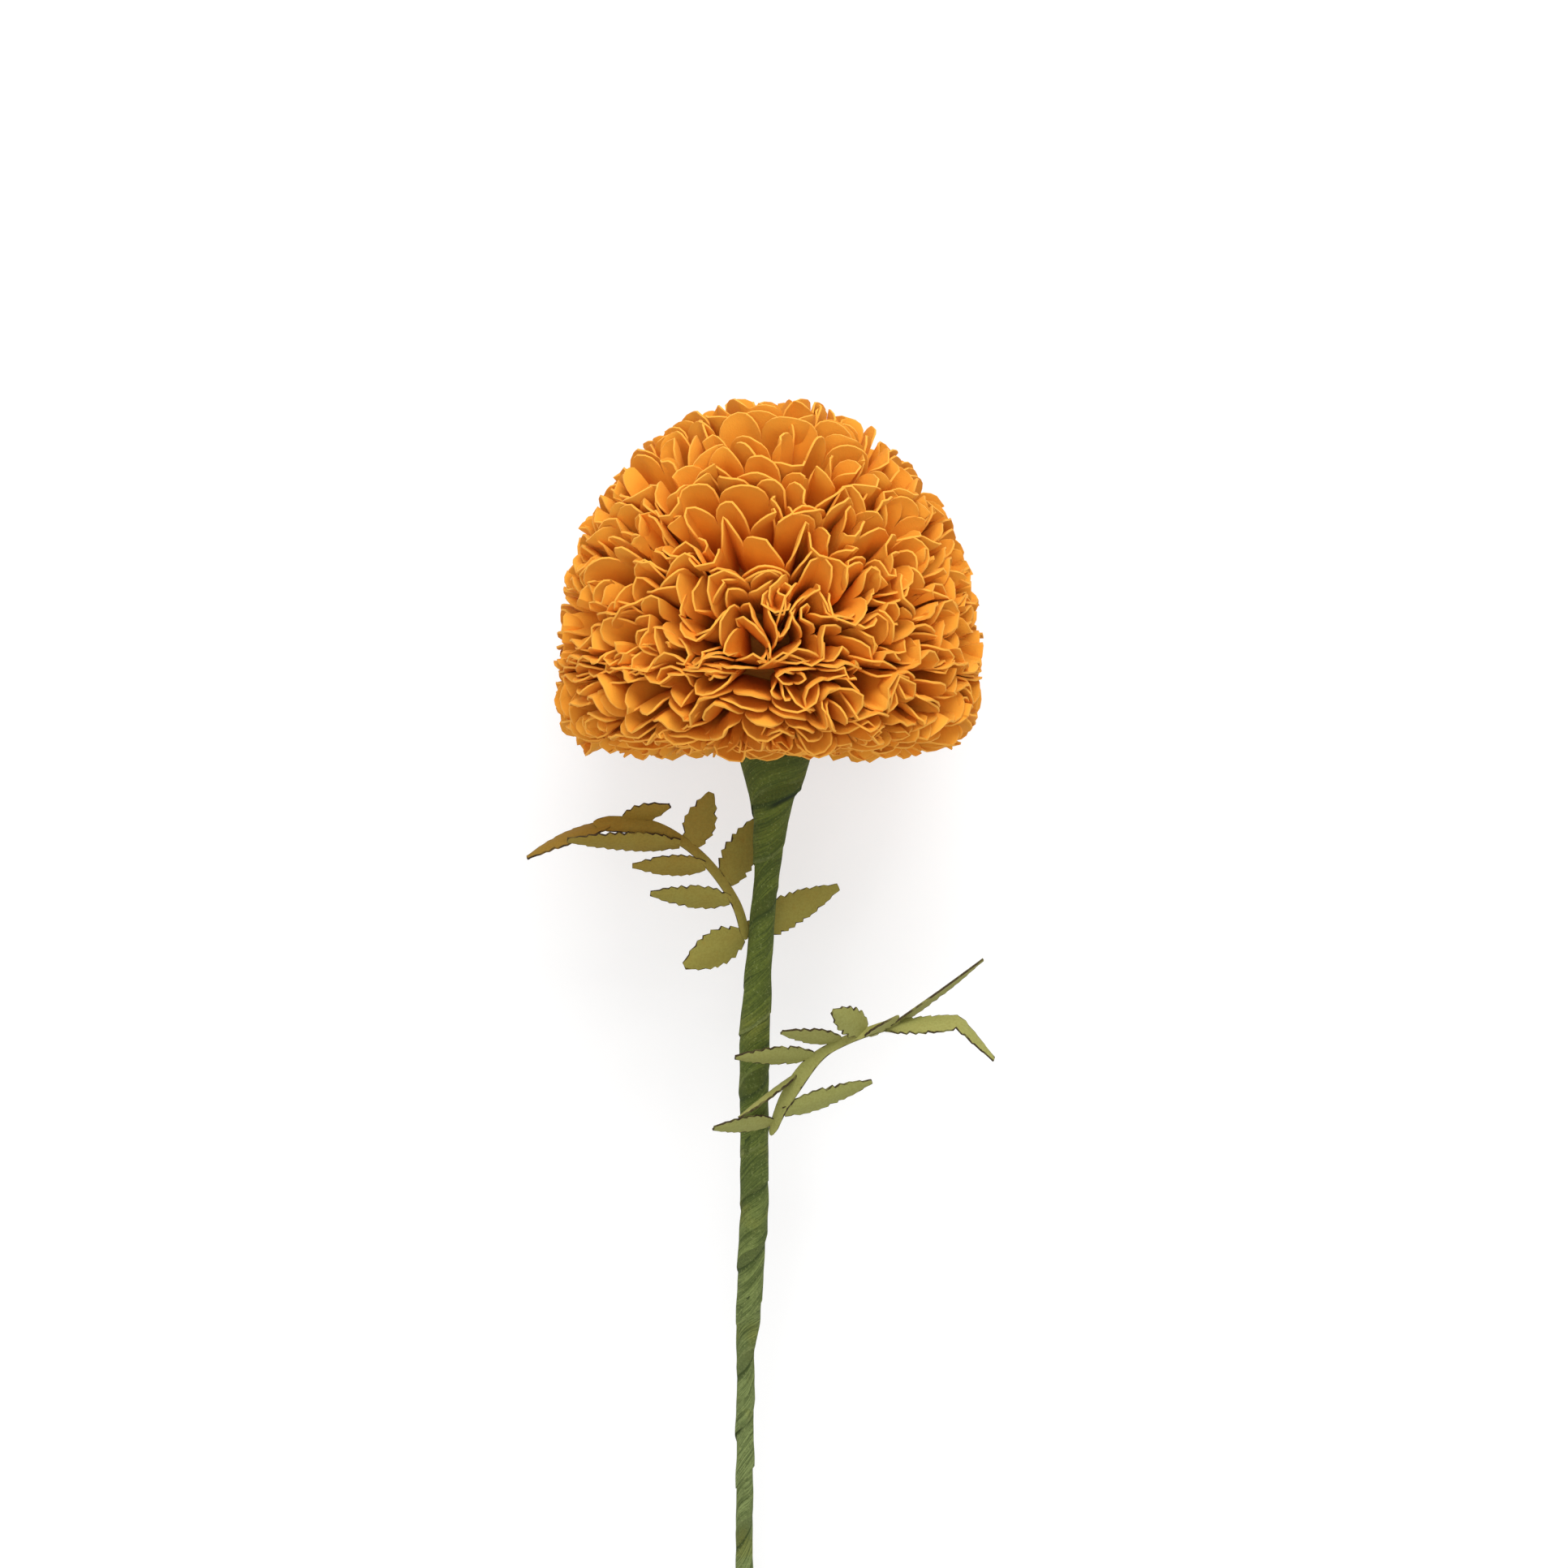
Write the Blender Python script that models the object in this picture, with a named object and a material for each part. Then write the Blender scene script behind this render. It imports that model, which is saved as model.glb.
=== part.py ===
"""A paper marigold on a wrapped wire stem, lying on a table.

The flower is modelled in its own frame: Z is the axis of the head, Z = 0 is its underside, X is to the
right and -Y faces the viewer. An empty then lays it down with the head on its flat spot, and the stem
is bent so far that its cut end touches the surface z = 0 too. Lengths are in metres, angles in radians.

The feature that takes the most skill is the head: gathered strips of petals that run round a core in
rounds. Each strip is one sheet, drawn together at the core and folded to and fro at its petal tips, so
that it fills its own band of the dome and no other.
"""

import math
import random
from dataclasses import dataclass

import bmesh
import bpy
from mathutils import Matrix, Vector

MM = 0.001
SEED = 11

# Clearance between pieces that are glued or wound together
SEAT_GAP = 0.3 * MM

# The head's outline, measured from its centre, where all petals point away from
HEAD_RADIUS = 44.0 * MM
HEAD_RISE = 53.0 * MM
HEAD_DROP = 20.5 * MM
DOME_POWER = 2.0
SKIRT_POWER = 6.0

# The ball that the petals are glued to
CORE_RADIUS = 27.0 * MM
CORE_RISE = 35.0 * MM
CORE_DROP = 13.0 * MM
CORE_SKIRT_POWER = 2.2
CORE_SIDES = 24
CORE_RINGS = 13

# Petal strips
PETAL_PAPER = 0.6 * MM
NOTCH_DEPTH = 2.6 * MM
PETAL_UNEVENNESS = 1.8 * MM
FOLD_UNEVENNESS = 0.5
FOLD_SHORTFALL = 0.16
GATHER_SHARE = 0.12

# The rounds sway to and fro as they run round the dome, down to the pressed ones
ROUND_SWAY = 3.8 * MM
SWAYS_ROUND = 4
SWAY_END = math.radians(94)

# How deep the head is pressed flat where it lies
PRESS_DEPTH = 1.5 * MM

# How far the stem reaches below the head
STEM_LENGTH = 231.0 * MM

# Places down the stem: below the head, to the right of its axis and the stem's radius, in millimetres
STEM_ROUTE = (
    (-7.0, 1.3, 4.2),
    (0.0, 1.3, 7.6),
    (4.0, 1.2, 6.4),
    (9.0, 0.8, 4.5),
    (14.0, 0.4, 3.4),
    (26.0, -0.5, 2.4),
    (40.0, -1.8, 2.6),
    (60.0, -3.0, 3.0),
    (94.0, -3.0, 2.8),
    (119.0, -4.4, 2.5),
    (126.0, -4.9, 1.75),
    (STEM_LENGTH / MM, -5.8, 1.65),
)
BEND_LENGTH = 46.0 * MM
WIRE_RADIUS = 0.8 * MM
WIRE_BITE = 16.0 * MM
WIRE_SIDES = 10

# The strip of crepe paper wound round the stem
WRAP_PITCH = 12.0 * MM
WRAP_STEP = 0.3 * MM
WRAP_SIDES = 10

# Cut paper leaves
LEAF_PAPER = 0.5 * MM
LEAFLET_BEND = 0.68
RACHIS_WIDTH = 2.0 * MM
RACHIS_SWELL = 1.5 * MM
SWELL_REACH = 0.32
LEAFLET_SEAT = 0.9 * MM
LEAFLET_TEETH = 4
TOOTH_DEPTH = 0.16
LEAFLET_FOLD = 0.18
TIP_WIDTH = 0.5 * MM
LEAF_WIRE_RADIUS = 0.4 * MM
LEAF_WIRE_SIDES = 6
LEAF_WIRE_START = 0.08
LEAF_WIRE_END = 0.62

# How high the head's axis lies above the table
LYING_HEIGHT = HEAD_RADIUS - PRESS_DEPTH

# Colour, roughness and metallic value of each material
MATERIALS = {
    "petal_paper": ((0.80, 0.33, 0.03), 0.85, 0.0),
    "core_paper": ((0.62, 0.24, 0.03), 0.9, 0.0),
    "crepe_paper": ((0.13, 0.17, 0.05), 0.9, 0.0),
    "olive_leaf": ((0.22, 0.16, 0.03), 0.8, 0.0),
    "pale_leaf": ((0.36, 0.34, 0.12), 0.8, 0.0),
    "steel_wire": ((0.45, 0.45, 0.46), 0.4, 1.0),
}


@dataclass(frozen=True)
class Nest:
    """Rounds of petals that lie in one another, because they share their folds.

    Each round is given by the angle between its middle and the head's axis and by the height of its
    waves, both in degrees.
    """

    name: str
    waves: int
    rounds: tuple


NESTS = (
    Nest("tuft", 6, ((7.5, 9.0), (16.0, 8.5))),
    Nest("crown", 11, ((26.0, 8.5), (35.5, 9.0))),
    Nest(
        "dome",
        17,
        (
            (46.0, 9.0),
            (55.5, 14.0),
            (65.5, 15.0),
            (75.5, 14.0),
            (84.5, 9.0),
            (91.5, 4.5),
            (95.5, 4.5),
            (102.0, 9.5),
            (110.5, 11.0),
        ),
    ),
    Nest("skirt", 9, ((121.5, 6.5), (133.0, 9.0), (145.5, 9.5))),
)


@dataclass(frozen=True)
class Leaflet:
    """One blade of a leaf.

    The station is a share of the rachis's length, the side is 1, -1 or 0 for its end, the reach runs
    from there to the tip, and a turn of 0 degrees shows the viewer the blade's face. The bow is how far
    the blade's bend stands off the straight line to its tip.
    """

    station: float
    side: int
    reach: tuple
    width: float
    turn: float
    curl: float
    bow: tuple = (0.0, 0.0, 0.0)


@dataclass(frozen=True)
class Sprig:
    """One leaf: the route of its rachis and its leaflets.

    Places are (right of the head's axis, from the stem's middle towards the viewer, below the head)
    in millimetres, the tilt is that of the rachis in degrees, and the swell is the share of its length
    where it is widest.
    """

    name: str
    material: str
    route: tuple
    tilt: float
    swell: float
    leaflets: tuple


UPPER_SPRIG = Sprig(
    name="upper_leaf",
    material="olive_leaf",
    route=((-4.7, -2.1, 38.4), (-7.0, -0.4, 30.6), (-13.8, 2.0, 21.4), (-23.0, 3.2, 15.6), (-36.0, 3.0, 14.4)),
    tilt=25.0,
    swell=0.88,
    leaflets=(
        Leaflet(0.05, 1, (17.6, -9.0, -9.5), 7.6, 12.0, -3.0),
        Leaflet(0.05, -1, (-11.6, 4.0, 6.4), 8.2, -18.0, 0.8),
        Leaflet(0.35, 1, (7.3, -4.5, -13.3), 8.0, 20.0, 0.6),
        Leaflet(0.27, -1, (-16.4, 2.0, -1.0), 5.6, -30.0, 0.8),
        Leaflet(0.57, 1, (4.0, -1.5, -10.8), 7.0, 10.0, 0.5),
        Leaflet(0.46, -1, (-15.0, 1.0, 0.4), 5.2, -32.0, 0.8),
        Leaflet(0.62, -1, (-23.0, 3.5, -0.6), 5.4, -42.0, 0.4),
        Leaflet(0.87, 1, (9.5, 3.5, -2.4), 4.8, 36.0, 0.6),
        Leaflet(1.00, 0, (-14.5, 0.5, 3.4), 5.2, 58.0, 4.4),
    ),
)

LOWER_SPRIG = Sprig(
    name="lower_leaf",
    material="pale_leaf",
    route=((0.5, 2.8, 79.0), (3.6, 6.0, 71.4), (9.2, 8.4, 63.4), (16.0, 10.2, 59.0), (27.0, 11.0, 55.0)),
    tilt=-30.0,
    swell=0.36,
    leaflets=(
        Leaflet(0.09, -1, (-12.0, 9.5, 0.4), 4.8, -44.0, 0.0),
        Leaflet(0.18, 1, (18.4, -1.0, -6.0), 5.4, 38.0, 0.6),
        Leaflet(0.38, -1, (-11.8, 4.3, 8.2), 3.6, 75.0, 0.4),
        Leaflet(0.52, -1, (-16.0, 4.0, 0.6), 5.2, -42.0, 0.6),
        Leaflet(0.71, -1, (-11.6, 7.0, -1.4), 5.2, -50.0, 0.8),
        Leaflet(0.84, -1, (-6.6, 8.5, -4.0), 6.4, 5.0, 0.4),
        Leaflet(0.84, 1, (6.0, 5.0, -4.6), 4.6, 64.0, 0.4),
        Leaflet(0.91, 1, (21.0, -4.0, -13.6), 5.0, 74.0, -0.8),
        Leaflet(1.00, 0, (19.5, 1.0, 7.5), 5.4, -48.0, 0.4, bow=(0.0, 1.0, -5.6)),
    ),
)


def clear_scene():
    """Removes every object of the startup scene."""
    for thing in list(bpy.data.objects):
        bpy.data.objects.remove(thing)


def make_materials():
    """Makes one Principled material for each row of the table, and returns them by name."""
    made = {}
    for name, (colour, roughness, metallic) in MATERIALS.items():
        material = bpy.data.materials.new(name)
        material.use_nodes = True
        shader = material.node_tree.nodes["Principled BSDF"]
        shader.inputs["Base Color"].default_value = (*colour, 1.0)
        shader.inputs["Roughness"].default_value = roughness
        shader.inputs["Metallic"].default_value = metallic
        made[name] = material
    return made


def add_object(name, bm, material, frame):
    """Turns a bmesh into a named object in the flower's frame."""
    mesh = bpy.data.meshes.new(name)
    bm.to_mesh(mesh)
    bm.free()
    mesh.materials.append(material)
    thing = bpy.data.objects.new(name, mesh)
    thing.parent = frame
    bpy.context.scene.collection.objects.link(thing)
    return thing


def give_thickness(thing, thickness):
    """Makes a closed sheet of an open surface, half of its thickness on either side."""
    shell = thing.modifiers.new("paper thickness", "SOLIDIFY")
    shell.thickness = thickness
    shell.offset = 0.0
    shell.use_even_offset = True
    shell.use_quality_normals = True


def extrude_loop(bm, edges, place):
    """Extrudes a row or loop of edges and moves each new vertex to place(old vertex)."""
    old = {vert for edge in edges for vert in edge.verts}
    made = bmesh.ops.extrude_edge_only(bm, edges=edges)["geom"]
    new_verts = {item for item in made if isinstance(item, bmesh.types.BMVert)}
    partner = {}
    for vert in old:
        for edge in vert.link_edges:
            other = edge.other_vert(vert)
            if other in new_verts:
                partner[vert] = other
    for vert, other in partner.items():
        other.co = place(vert)
    new_edges = [
        item
        for item in made
        if isinstance(item, bmesh.types.BMEdge) and all(vert in new_verts for vert in item.verts)
    ]
    return new_edges, partner


def outline_distance(polar, radius, rise, drop, skirt_power):
    """Distance from the head's centre to a bell-shaped outline, at a polar angle from the top."""
    below = polar > math.pi / 2
    height = drop if below else rise
    power = skirt_power if below else DOME_POWER
    across = (math.sin(polar) / radius) ** power
    along = (abs(math.cos(polar)) / height) ** power
    return (across + along) ** (-1 / power)


def head_distance(polar):
    """Distance from the head's centre to its outside."""
    return outline_distance(polar, HEAD_RADIUS, HEAD_RISE, HEAD_DROP, SKIRT_POWER)


def core_distance(polar):
    """Distance from the head's centre to the outside of the core."""
    return outline_distance(polar, CORE_RADIUS, CORE_RISE, CORE_DROP, CORE_SKIRT_POWER)


def direction(polar, azimuth):
    """Unit vector from the head's centre, by its angle from the top and its angle round the stem."""
    across = math.sin(polar)
    return Vector((across * math.cos(azimuth), across * math.sin(azimuth), math.cos(polar)))


def press_flat(bm):
    """Moves what reaches past the table back to its surface."""
    for vert in bm.verts:
        vert.co.y = min(vert.co.y, LYING_HEIGHT)


def swayed(polar, azimuth):
    """Polar angle that a round reaches once its sway is added."""
    if polar > SWAY_END:
        return polar
    most = ROUND_SWAY / HEAD_RADIUS * math.sin(math.pi * polar / SWAY_END) ** 2
    return polar + most * math.sin(SWAYS_ROUND * azimuth + 2 * polar)


def nest_folds(waves, dice):
    """Draws the folds that all rounds of a nest share, as (azimuth, share of the wave's height)."""
    count = 2 * waves
    folds = []
    for number in range(count):
        slip = FOLD_UNEVENNESS * (dice.random() - 0.5)
        inward = FOLD_SHORTFALL * dice.random()
        folds.append((2 * math.pi * (number + slip) / count, inward if number % 2 else 1 - inward))
    folds.append((folds[0][0] + 2 * math.pi, folds[0][1]))
    return folds


def petal_path(middle, height, folds, dice):
    """Goes once round the head, and gives each fold and petal point as (azimuth, polar, distance).

    Each petal has a fold at either side, where the strip is notched, and two points between them
    where its tip stands out.
    """
    path = []
    for start, end in zip(folds, folds[1:]):
        tip = PETAL_UNEVENNESS * (dice.random() - 0.5)
        for along, rise in ((0.0, -NOTCH_DEPTH), (1 / 3, tip), (2 / 3, tip)):
            azimuth = start[0] + (end[0] - start[0]) * along
            share = start[1] + (end[1] - start[1]) * along
            polar = swayed(math.radians(middle + height * (share - 0.5)), azimuth)
            path.append((azimuth, polar, head_distance(polar) + rise))
    return path


def petal_round(name, path, material, frame):
    """Builds one strip of petals, which is gathered where it is glued to the core."""
    mean = sum(polar for _, polar, _ in path) / len(path)
    centre = Vector((0.0, 0.0, HEAD_DROP))
    bm = bmesh.new()
    ring = bmesh.ops.create_circle(bm, segments=len(path), radius=1.0)["verts"]
    tips = {}
    for vert, (azimuth, polar, distance) in zip(ring, path):
        gathered = mean + (polar - mean) * GATHER_SHARE
        seat = core_distance(gathered) + SEAT_GAP + PETAL_PAPER / 2
        vert.co = centre + direction(gathered, azimuth) * seat
        tips[vert] = centre + direction(polar, azimuth) * distance
    extrude_loop(bm, list(bm.edges), tips.get)
    sheet = add_object(name, bm, material, frame)
    give_thickness(sheet, PETAL_PAPER)
    bpy.context.view_layer.update()
    solid = bmesh.new()
    solid.from_object(sheet, bpy.context.evaluated_depsgraph_get())
    press_flat(solid)
    sheet.modifiers.clear()
    solid.to_mesh(sheet.data)
    solid.free()
    return sheet


def build_petals(materials, frame):
    """Builds every nest of rounds, from the tuft at the top down to the skirt under the head."""
    dice = random.Random(SEED)
    for nest in NESTS:
        folds = nest_folds(nest.waves, dice)
        for number, (middle, height) in enumerate(nest.rounds, start=1):
            path = petal_path(middle, height, folds, dice)
            petal_round(f"{nest.name}_petals_{number}", path, materials["petal_paper"], frame)


def build_core(materials, frame):
    """Builds the core as a turned bell, with a blind hole for the stem's wire."""
    centre = Vector((0.0, 0.0, HEAD_DROP))
    floor = HEAD_DROP - CORE_DROP
    hole_radius = WIRE_RADIUS + SEAT_GAP
    hole_top = floor + WIRE_BITE + SEAT_GAP
    outline = [Vector((0.0, 0.0, HEAD_DROP + CORE_RISE))]
    for ring in range(1, CORE_RINGS):
        polar = math.pi * ring / CORE_RINGS
        outline.append(centre + direction(polar, 0.0) * core_distance(polar))
    outline += [
        Vector((hole_radius, 0.0, floor)),
        Vector((hole_radius, 0.0, hole_top)),
        Vector((0.0, 0.0, hole_top)),
    ]
    bm = bmesh.new()
    profile = [bm.verts.new(point) for point in outline]
    edges = [bm.edges.new(pair) for pair in zip(profile, profile[1:])]
    bmesh.ops.spin(
        bm,
        geom=profile + edges,
        cent=(0.0, 0.0, 0.0),
        axis=(0.0, 0.0, 1.0),
        angle=2 * math.pi,
        steps=CORE_SIDES,
        use_merge=True,
    )
    bmesh.ops.remove_doubles(bm, verts=list(bm.verts), dist=0.01 * MM)
    bmesh.ops.recalc_face_normals(bm, faces=list(bm.faces))
    for vert in bm.verts:
        if vert.co.z <= hole_top + SEAT_GAP and vert.co.xy.length < hole_radius * 1.5:
            vert.co.x += STEM_ROUTE[0][1] * MM
    return add_object("head_core", bm, materials["core_paper"], frame)


def stem_place(down):
    """Middle and radius of the stem, at a distance below the head."""
    places = [tuple(value * MM for value in place) for place in STEM_ROUTE]
    after = next((i for i, place in enumerate(places) if place[0] >= down), len(places) - 1)
    start, end = places[max(after - 1, 0)], places[after]
    share = min(1.0, max(0.0, (down - start[0]) / (end[0] - start[0]))) if after else 0.0
    right, radius = (start[i] + (end[i] - start[i]) * share for i in (1, 2))
    return Vector((right, stem_sag(down), -down)), radius


def stem_sag(down):
    """How far the stem has bent towards the table: along a parabola first, and straight after it."""
    end_height = STEM_ROUTE[-1][2] * MM + WRAP_STEP
    slope = (LYING_HEIGHT - end_height) / (STEM_LENGTH - BEND_LENGTH / 2)
    bent = min(max(down, 0.0), BEND_LENGTH)
    return slope * (bent**2 / (2 * BEND_LENGTH) + max(down - BEND_LENGTH, 0.0))


def tube_rings(bm, stations, radius, sides):
    """Sweeps a circle down the stem's middle, and returns the loops of edges at its two ends."""
    first = bmesh.ops.create_circle(bm, segments=sides, radius=radius)["verts"]
    middle, _ = stem_place(stations[0])
    bmesh.ops.translate(bm, verts=first, vec=middle)
    top = list({edge for vert in first for edge in vert.link_edges})
    edges = top
    for down in stations[1:]:
        after, _ = stem_place(down)
        step = after - middle
        edges, _ = extrude_loop(bm, edges, lambda vert, step=step: vert.co + step)
        middle = after
    return top, edges


def stem_stations(top):
    """Distances below the head at which the wire and its bore have a ring, from the given top."""
    bend = [BEND_LENGTH * share for share in (0.3, 0.5, 0.75)]
    route = [place[0] * MM for place in STEM_ROUTE if place[0] > 0.0]
    return [top, 0.0, *sorted(bend + route)]


def build_stem_wire(materials, frame):
    """Builds the wire that runs from the cut end of the stem up into the core."""
    bm = bmesh.new()
    top = CORE_DROP - HEAD_DROP - WIRE_BITE
    for end in tube_rings(bm, stem_stations(top), WIRE_RADIUS, WIRE_SIDES):
        bmesh.ops.edgeloop_fill(bm, edges=end)
    bmesh.ops.recalc_face_normals(bm, faces=list(bm.faces))
    return add_object("stem_wire", bm, materials["steel_wire"], frame)


def build_stem_wrap(materials, frame):
    """Builds the crepe paper as a helix of turns, each lapped over the one above it, with a bore.

    The grid's columns run down the stem with two rows to a turn: the tucked edge and the free edge,
    which stands out by one step. Each column starts a little lower than the one before it, so the
    last column meets the first one a whole turn further down.
    """
    top = CORE_DROP - HEAD_DROP + SEAT_GAP
    turns = math.ceil((STEM_LENGTH - top) / WRAP_PITCH) + 3
    rows = 2 * turns
    bm = bmesh.new()
    bmesh.ops.create_grid(bm, x_segments=WRAP_SIDES, y_segments=rows - 1, size=1.0)
    for vert in bm.verts:
        column = round((vert.co.x + 1) / 2 * WRAP_SIDES)
        row = round((1 - vert.co.y) / 2 * (rows - 1))
        turn, free_edge = divmod(row, 2)
        down = top + (turn + free_edge + column / WRAP_SIDES - 2) * WRAP_PITCH
        middle, radius = stem_place(down)
        azimuth = -2 * math.pi * column / WRAP_SIDES
        vert.co = middle + direction(math.pi / 2, azimuth) * (radius + free_edge * WRAP_STEP)
    bmesh.ops.remove_doubles(bm, verts=list(bm.verts), dist=0.001 * MM)
    for height, up in ((-top, 1.0), (-STEM_LENGTH, -1.0)):
        bmesh.ops.bisect_plane(
            bm,
            geom=list(bm.verts) + list(bm.edges) + list(bm.faces),
            dist=0.0001 * MM,
            plane_co=(0.0, 0.0, height),
            plane_no=(0.0, 0.0, up),
            clear_outer=True,
        )
    bmesh.ops.remove_doubles(bm, verts=list(bm.verts), dist=0.01 * MM)
    rims = [edge for edge in bm.edges if edge.is_boundary]
    upper = [edge for edge in rims if edge.verts[0].co.z > -STEM_LENGTH / 2]
    lower = [edge for edge in rims if edge.verts[0].co.z < -STEM_LENGTH / 2]
    bore = tube_rings(bm, stem_stations(top), WIRE_RADIUS + SEAT_GAP, WIRE_SIDES)
    for outside, inside in zip((upper, lower), bore):
        bmesh.ops.triangle_fill(bm, edges=outside + inside, normal=(0.0, 0.0, 1.0), use_beauty=True)
    bmesh.ops.recalc_face_normals(bm, faces=list(bm.faces))
    return add_object("stem_wrap", bm, materials["crepe_paper"], frame)


def route_point(sprig, share):
    """Point at a share of a smooth curve through the places of a sprig's route, in the flower's frame."""
    spans = len(sprig.route) - 1
    span = min(int(share * spans), spans - 1)
    local = share * spans - span
    before, start, end, after = (
        Vector(sprig.route[min(max(span + step, 0), spans)]) * MM for step in (-1, 0, 1, 2)
    )
    right, near, down = 0.5 * (
        2 * start
        + (end - before) * local
        + (2 * before - 5 * start + 4 * end - after) * local**2
        + (3 * start - before - 3 * end + after) * local**3
    )
    base_down = sprig.route[0][2] * MM
    return Vector((right, stem_sag(base_down) - near, -down))


def route_length(sprig):
    """Length of the curve through a sprig's route."""
    points = [route_point(sprig, i / 40) for i in range(41)]
    return sum((after - before).length for before, after in zip(points, points[1:]))


def rachis_frame(sprig, share):
    """Direction, sideways direction and face of the rachis at a share of its length."""
    reach = 0.01
    ahead = route_point(sprig, min(1.0, share + reach)) - route_point(sprig, max(0.0, share - reach))
    ahead.normalize()
    sideways = ahead.cross(Vector((0.0, -1.0, 0.0))).normalized()
    sideways = Matrix.Rotation(math.radians(sprig.tilt), 3, ahead) @ sideways
    return ahead, sideways, sideways.cross(ahead)


def rachis_half_width(sprig, share):
    """Half width of a rachis, which swells to both sides of its widest place."""
    away = min(1.0, abs(share - sprig.swell) / SWELL_REACH)
    return RACHIS_WIDTH / 2 + RACHIS_SWELL / 2 * math.cos(math.pi / 2 * away) ** 2


def leaflet_half_width(share, width):
    """Half width of a leaflet at a share of its length, without its teeth."""
    return width / 2 * math.sin(math.pi * share**0.72) ** 0.66


def grow_leaflet(bm, seat, leaflet):
    """Grows one toothed blade, creased along its midrib, from two edges at the side of the rachis."""
    middle = next(vert for vert in seat[0].verts if vert in seat[1].verts)
    base = middle.co.copy()
    reach, bow = (
        Vector((right, -near, -down)) * MM for right, near, down in (leaflet.reach, leaflet.bow)
    )
    ahead = reach.normalized()
    across = ahead.cross(Vector((0.0, -1.0, 0.0))).normalized()
    if across.dot(seat[0].other_vert(middle).co - seat[1].other_vert(middle).co) < 0:
        across.negate()
    across = Matrix.Rotation(math.radians(leaflet.turn), 3, ahead) @ across
    face = ahead.cross(across)
    width = leaflet.width * MM
    side_of = {middle: 0}
    for edge, side in zip(seat, (1, -1)):
        side_of[edge.other_vert(middle)] = side
    rows = 2 * LEAFLET_TEETH
    edges = seat
    for row in range(1, rows + 1):
        share = row / rows
        tooth = 1.0 if row % 2 else 1.0 - TOOTH_DEPTH
        half = max(TIP_WIDTH / 2, leaflet_half_width(min(share, 0.985), width) * tooth)
        bent = min(share / LEAFLET_BEND, (1.0 - share) / (1.0 - LEAFLET_BEND))
        spine = base + reach * share + bow * bent + face * (leaflet.curl * MM * share**2)
        def place(vert, half=half, spine=spine, sides=side_of):
            side = sides[vert]
            return spine + across * (side * half) + face * (abs(side) * half * LEAFLET_FOLD)
        edges, partner = extrude_loop(bm, edges, place)
        side_of = {partner[vert]: side for vert, side in side_of.items()}


def build_sprig(sprig, materials, frame):
    """Builds one cut paper leaf: the rachis as a ribbon and its leaflets, all of one sheet."""
    length = route_length(sprig)
    seat_share = LEAFLET_SEAT / length
    shares = {0.0, 1.0 - 2 * seat_share, 1.0 - seat_share, 1.0}
    for leaflet in sprig.leaflets:
        if leaflet.side:
            shares |= {leaflet.station - seat_share, leaflet.station, leaflet.station + seat_share}
    kept = []
    for share in sorted(shares):
        if not kept or share - kept[-1] > seat_share / 2:
            kept.append(share)
    bm = bmesh.new()
    rows = []
    for share in kept:
        _, sideways, _ = rachis_frame(sprig, share)
        point = route_point(sprig, share)
        half = sideways * rachis_half_width(sprig, share)
        rows.append([bm.verts.new(point + half), bm.verts.new(point), bm.verts.new(point - half)])
    for before, after in zip(rows, rows[1:]):
        bm.faces.new((before[0], before[1], after[1], after[0]))
        bm.faces.new((before[1], before[2], after[2], after[1]))
    for leaflet in sprig.leaflets:
        if leaflet.side:
            index = min(range(1, len(kept) - 1), key=lambda i: abs(kept[i] - leaflet.station))
            column = 0 if leaflet.side > 0 else 2
            trio = [rows[index + step][column] for step in (-1, 0, 1)]
        else:
            trio = rows[-1]
        grow_leaflet(bm, [bm.edges.get(trio[:2]), bm.edges.get(trio[1:])], leaflet)
    bmesh.ops.recalc_face_normals(bm, faces=list(bm.faces))
    sheet = add_object(sprig.name, bm, materials[sprig.material], frame)
    give_thickness(sheet, LEAF_PAPER)
    return sheet


def build_leaf_wire(sprig, materials, frame):
    """Builds the thin wire glued along the back of a leaf's rachis."""
    offset = LEAF_PAPER / 2 + SEAT_GAP + LEAF_WIRE_RADIUS
    steps = 8
    bm = bmesh.new()
    edges = None
    for step in range(steps + 1):
        share = LEAF_WIRE_START + (LEAF_WIRE_END - LEAF_WIRE_START) * step / steps
        ahead, sideways, face = rachis_frame(sprig, share)
        back = -face if face.y < 0 else face
        middle = route_point(sprig, share) + back * offset
        turn = Matrix((sideways, ahead.cross(sideways), ahead)).transposed().to_4x4()
        place = Matrix.Translation(middle) @ turn
        if edges is None:
            circle = bmesh.ops.create_circle(
                bm, segments=LEAF_WIRE_SIDES, radius=LEAF_WIRE_RADIUS, matrix=place, cap_ends=True
            )["verts"]
            edges = [edge for edge in bm.edges if all(vert in circle for vert in edge.verts)]
            last = place
            continue
        move = place @ last.inverted()
        edges, _ = extrude_loop(bm, edges, lambda vert, move=move: move @ vert.co)
        last = place
    bmesh.ops.edgeloop_fill(bm, edges=edges)
    bmesh.ops.recalc_face_normals(bm, faces=list(bm.faces))
    return add_object(f"{sprig.name}_wire", bm, materials["steel_wire"], frame)


def lay_down(frame):
    """Lays the flower on the table, and puts the origin under the middle of its bounding box."""
    frame.rotation_euler.x = -math.pi / 2
    bpy.context.view_layer.update()
    graph = bpy.context.evaluated_depsgraph_get()
    points = []
    for thing in frame.children:
        shape = thing.evaluated_get(graph)
        points.extend(thing.matrix_world @ vert.co for vert in shape.data.vertices)
    low = Vector(min(point[axis] for point in points) for axis in range(3))
    high = Vector(max(point[axis] for point in points) for axis in range(3))
    frame.location = (-(low.x + high.x) / 2, -(low.y + high.y) / 2, -low.z)
    bpy.context.view_layer.update()


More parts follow.
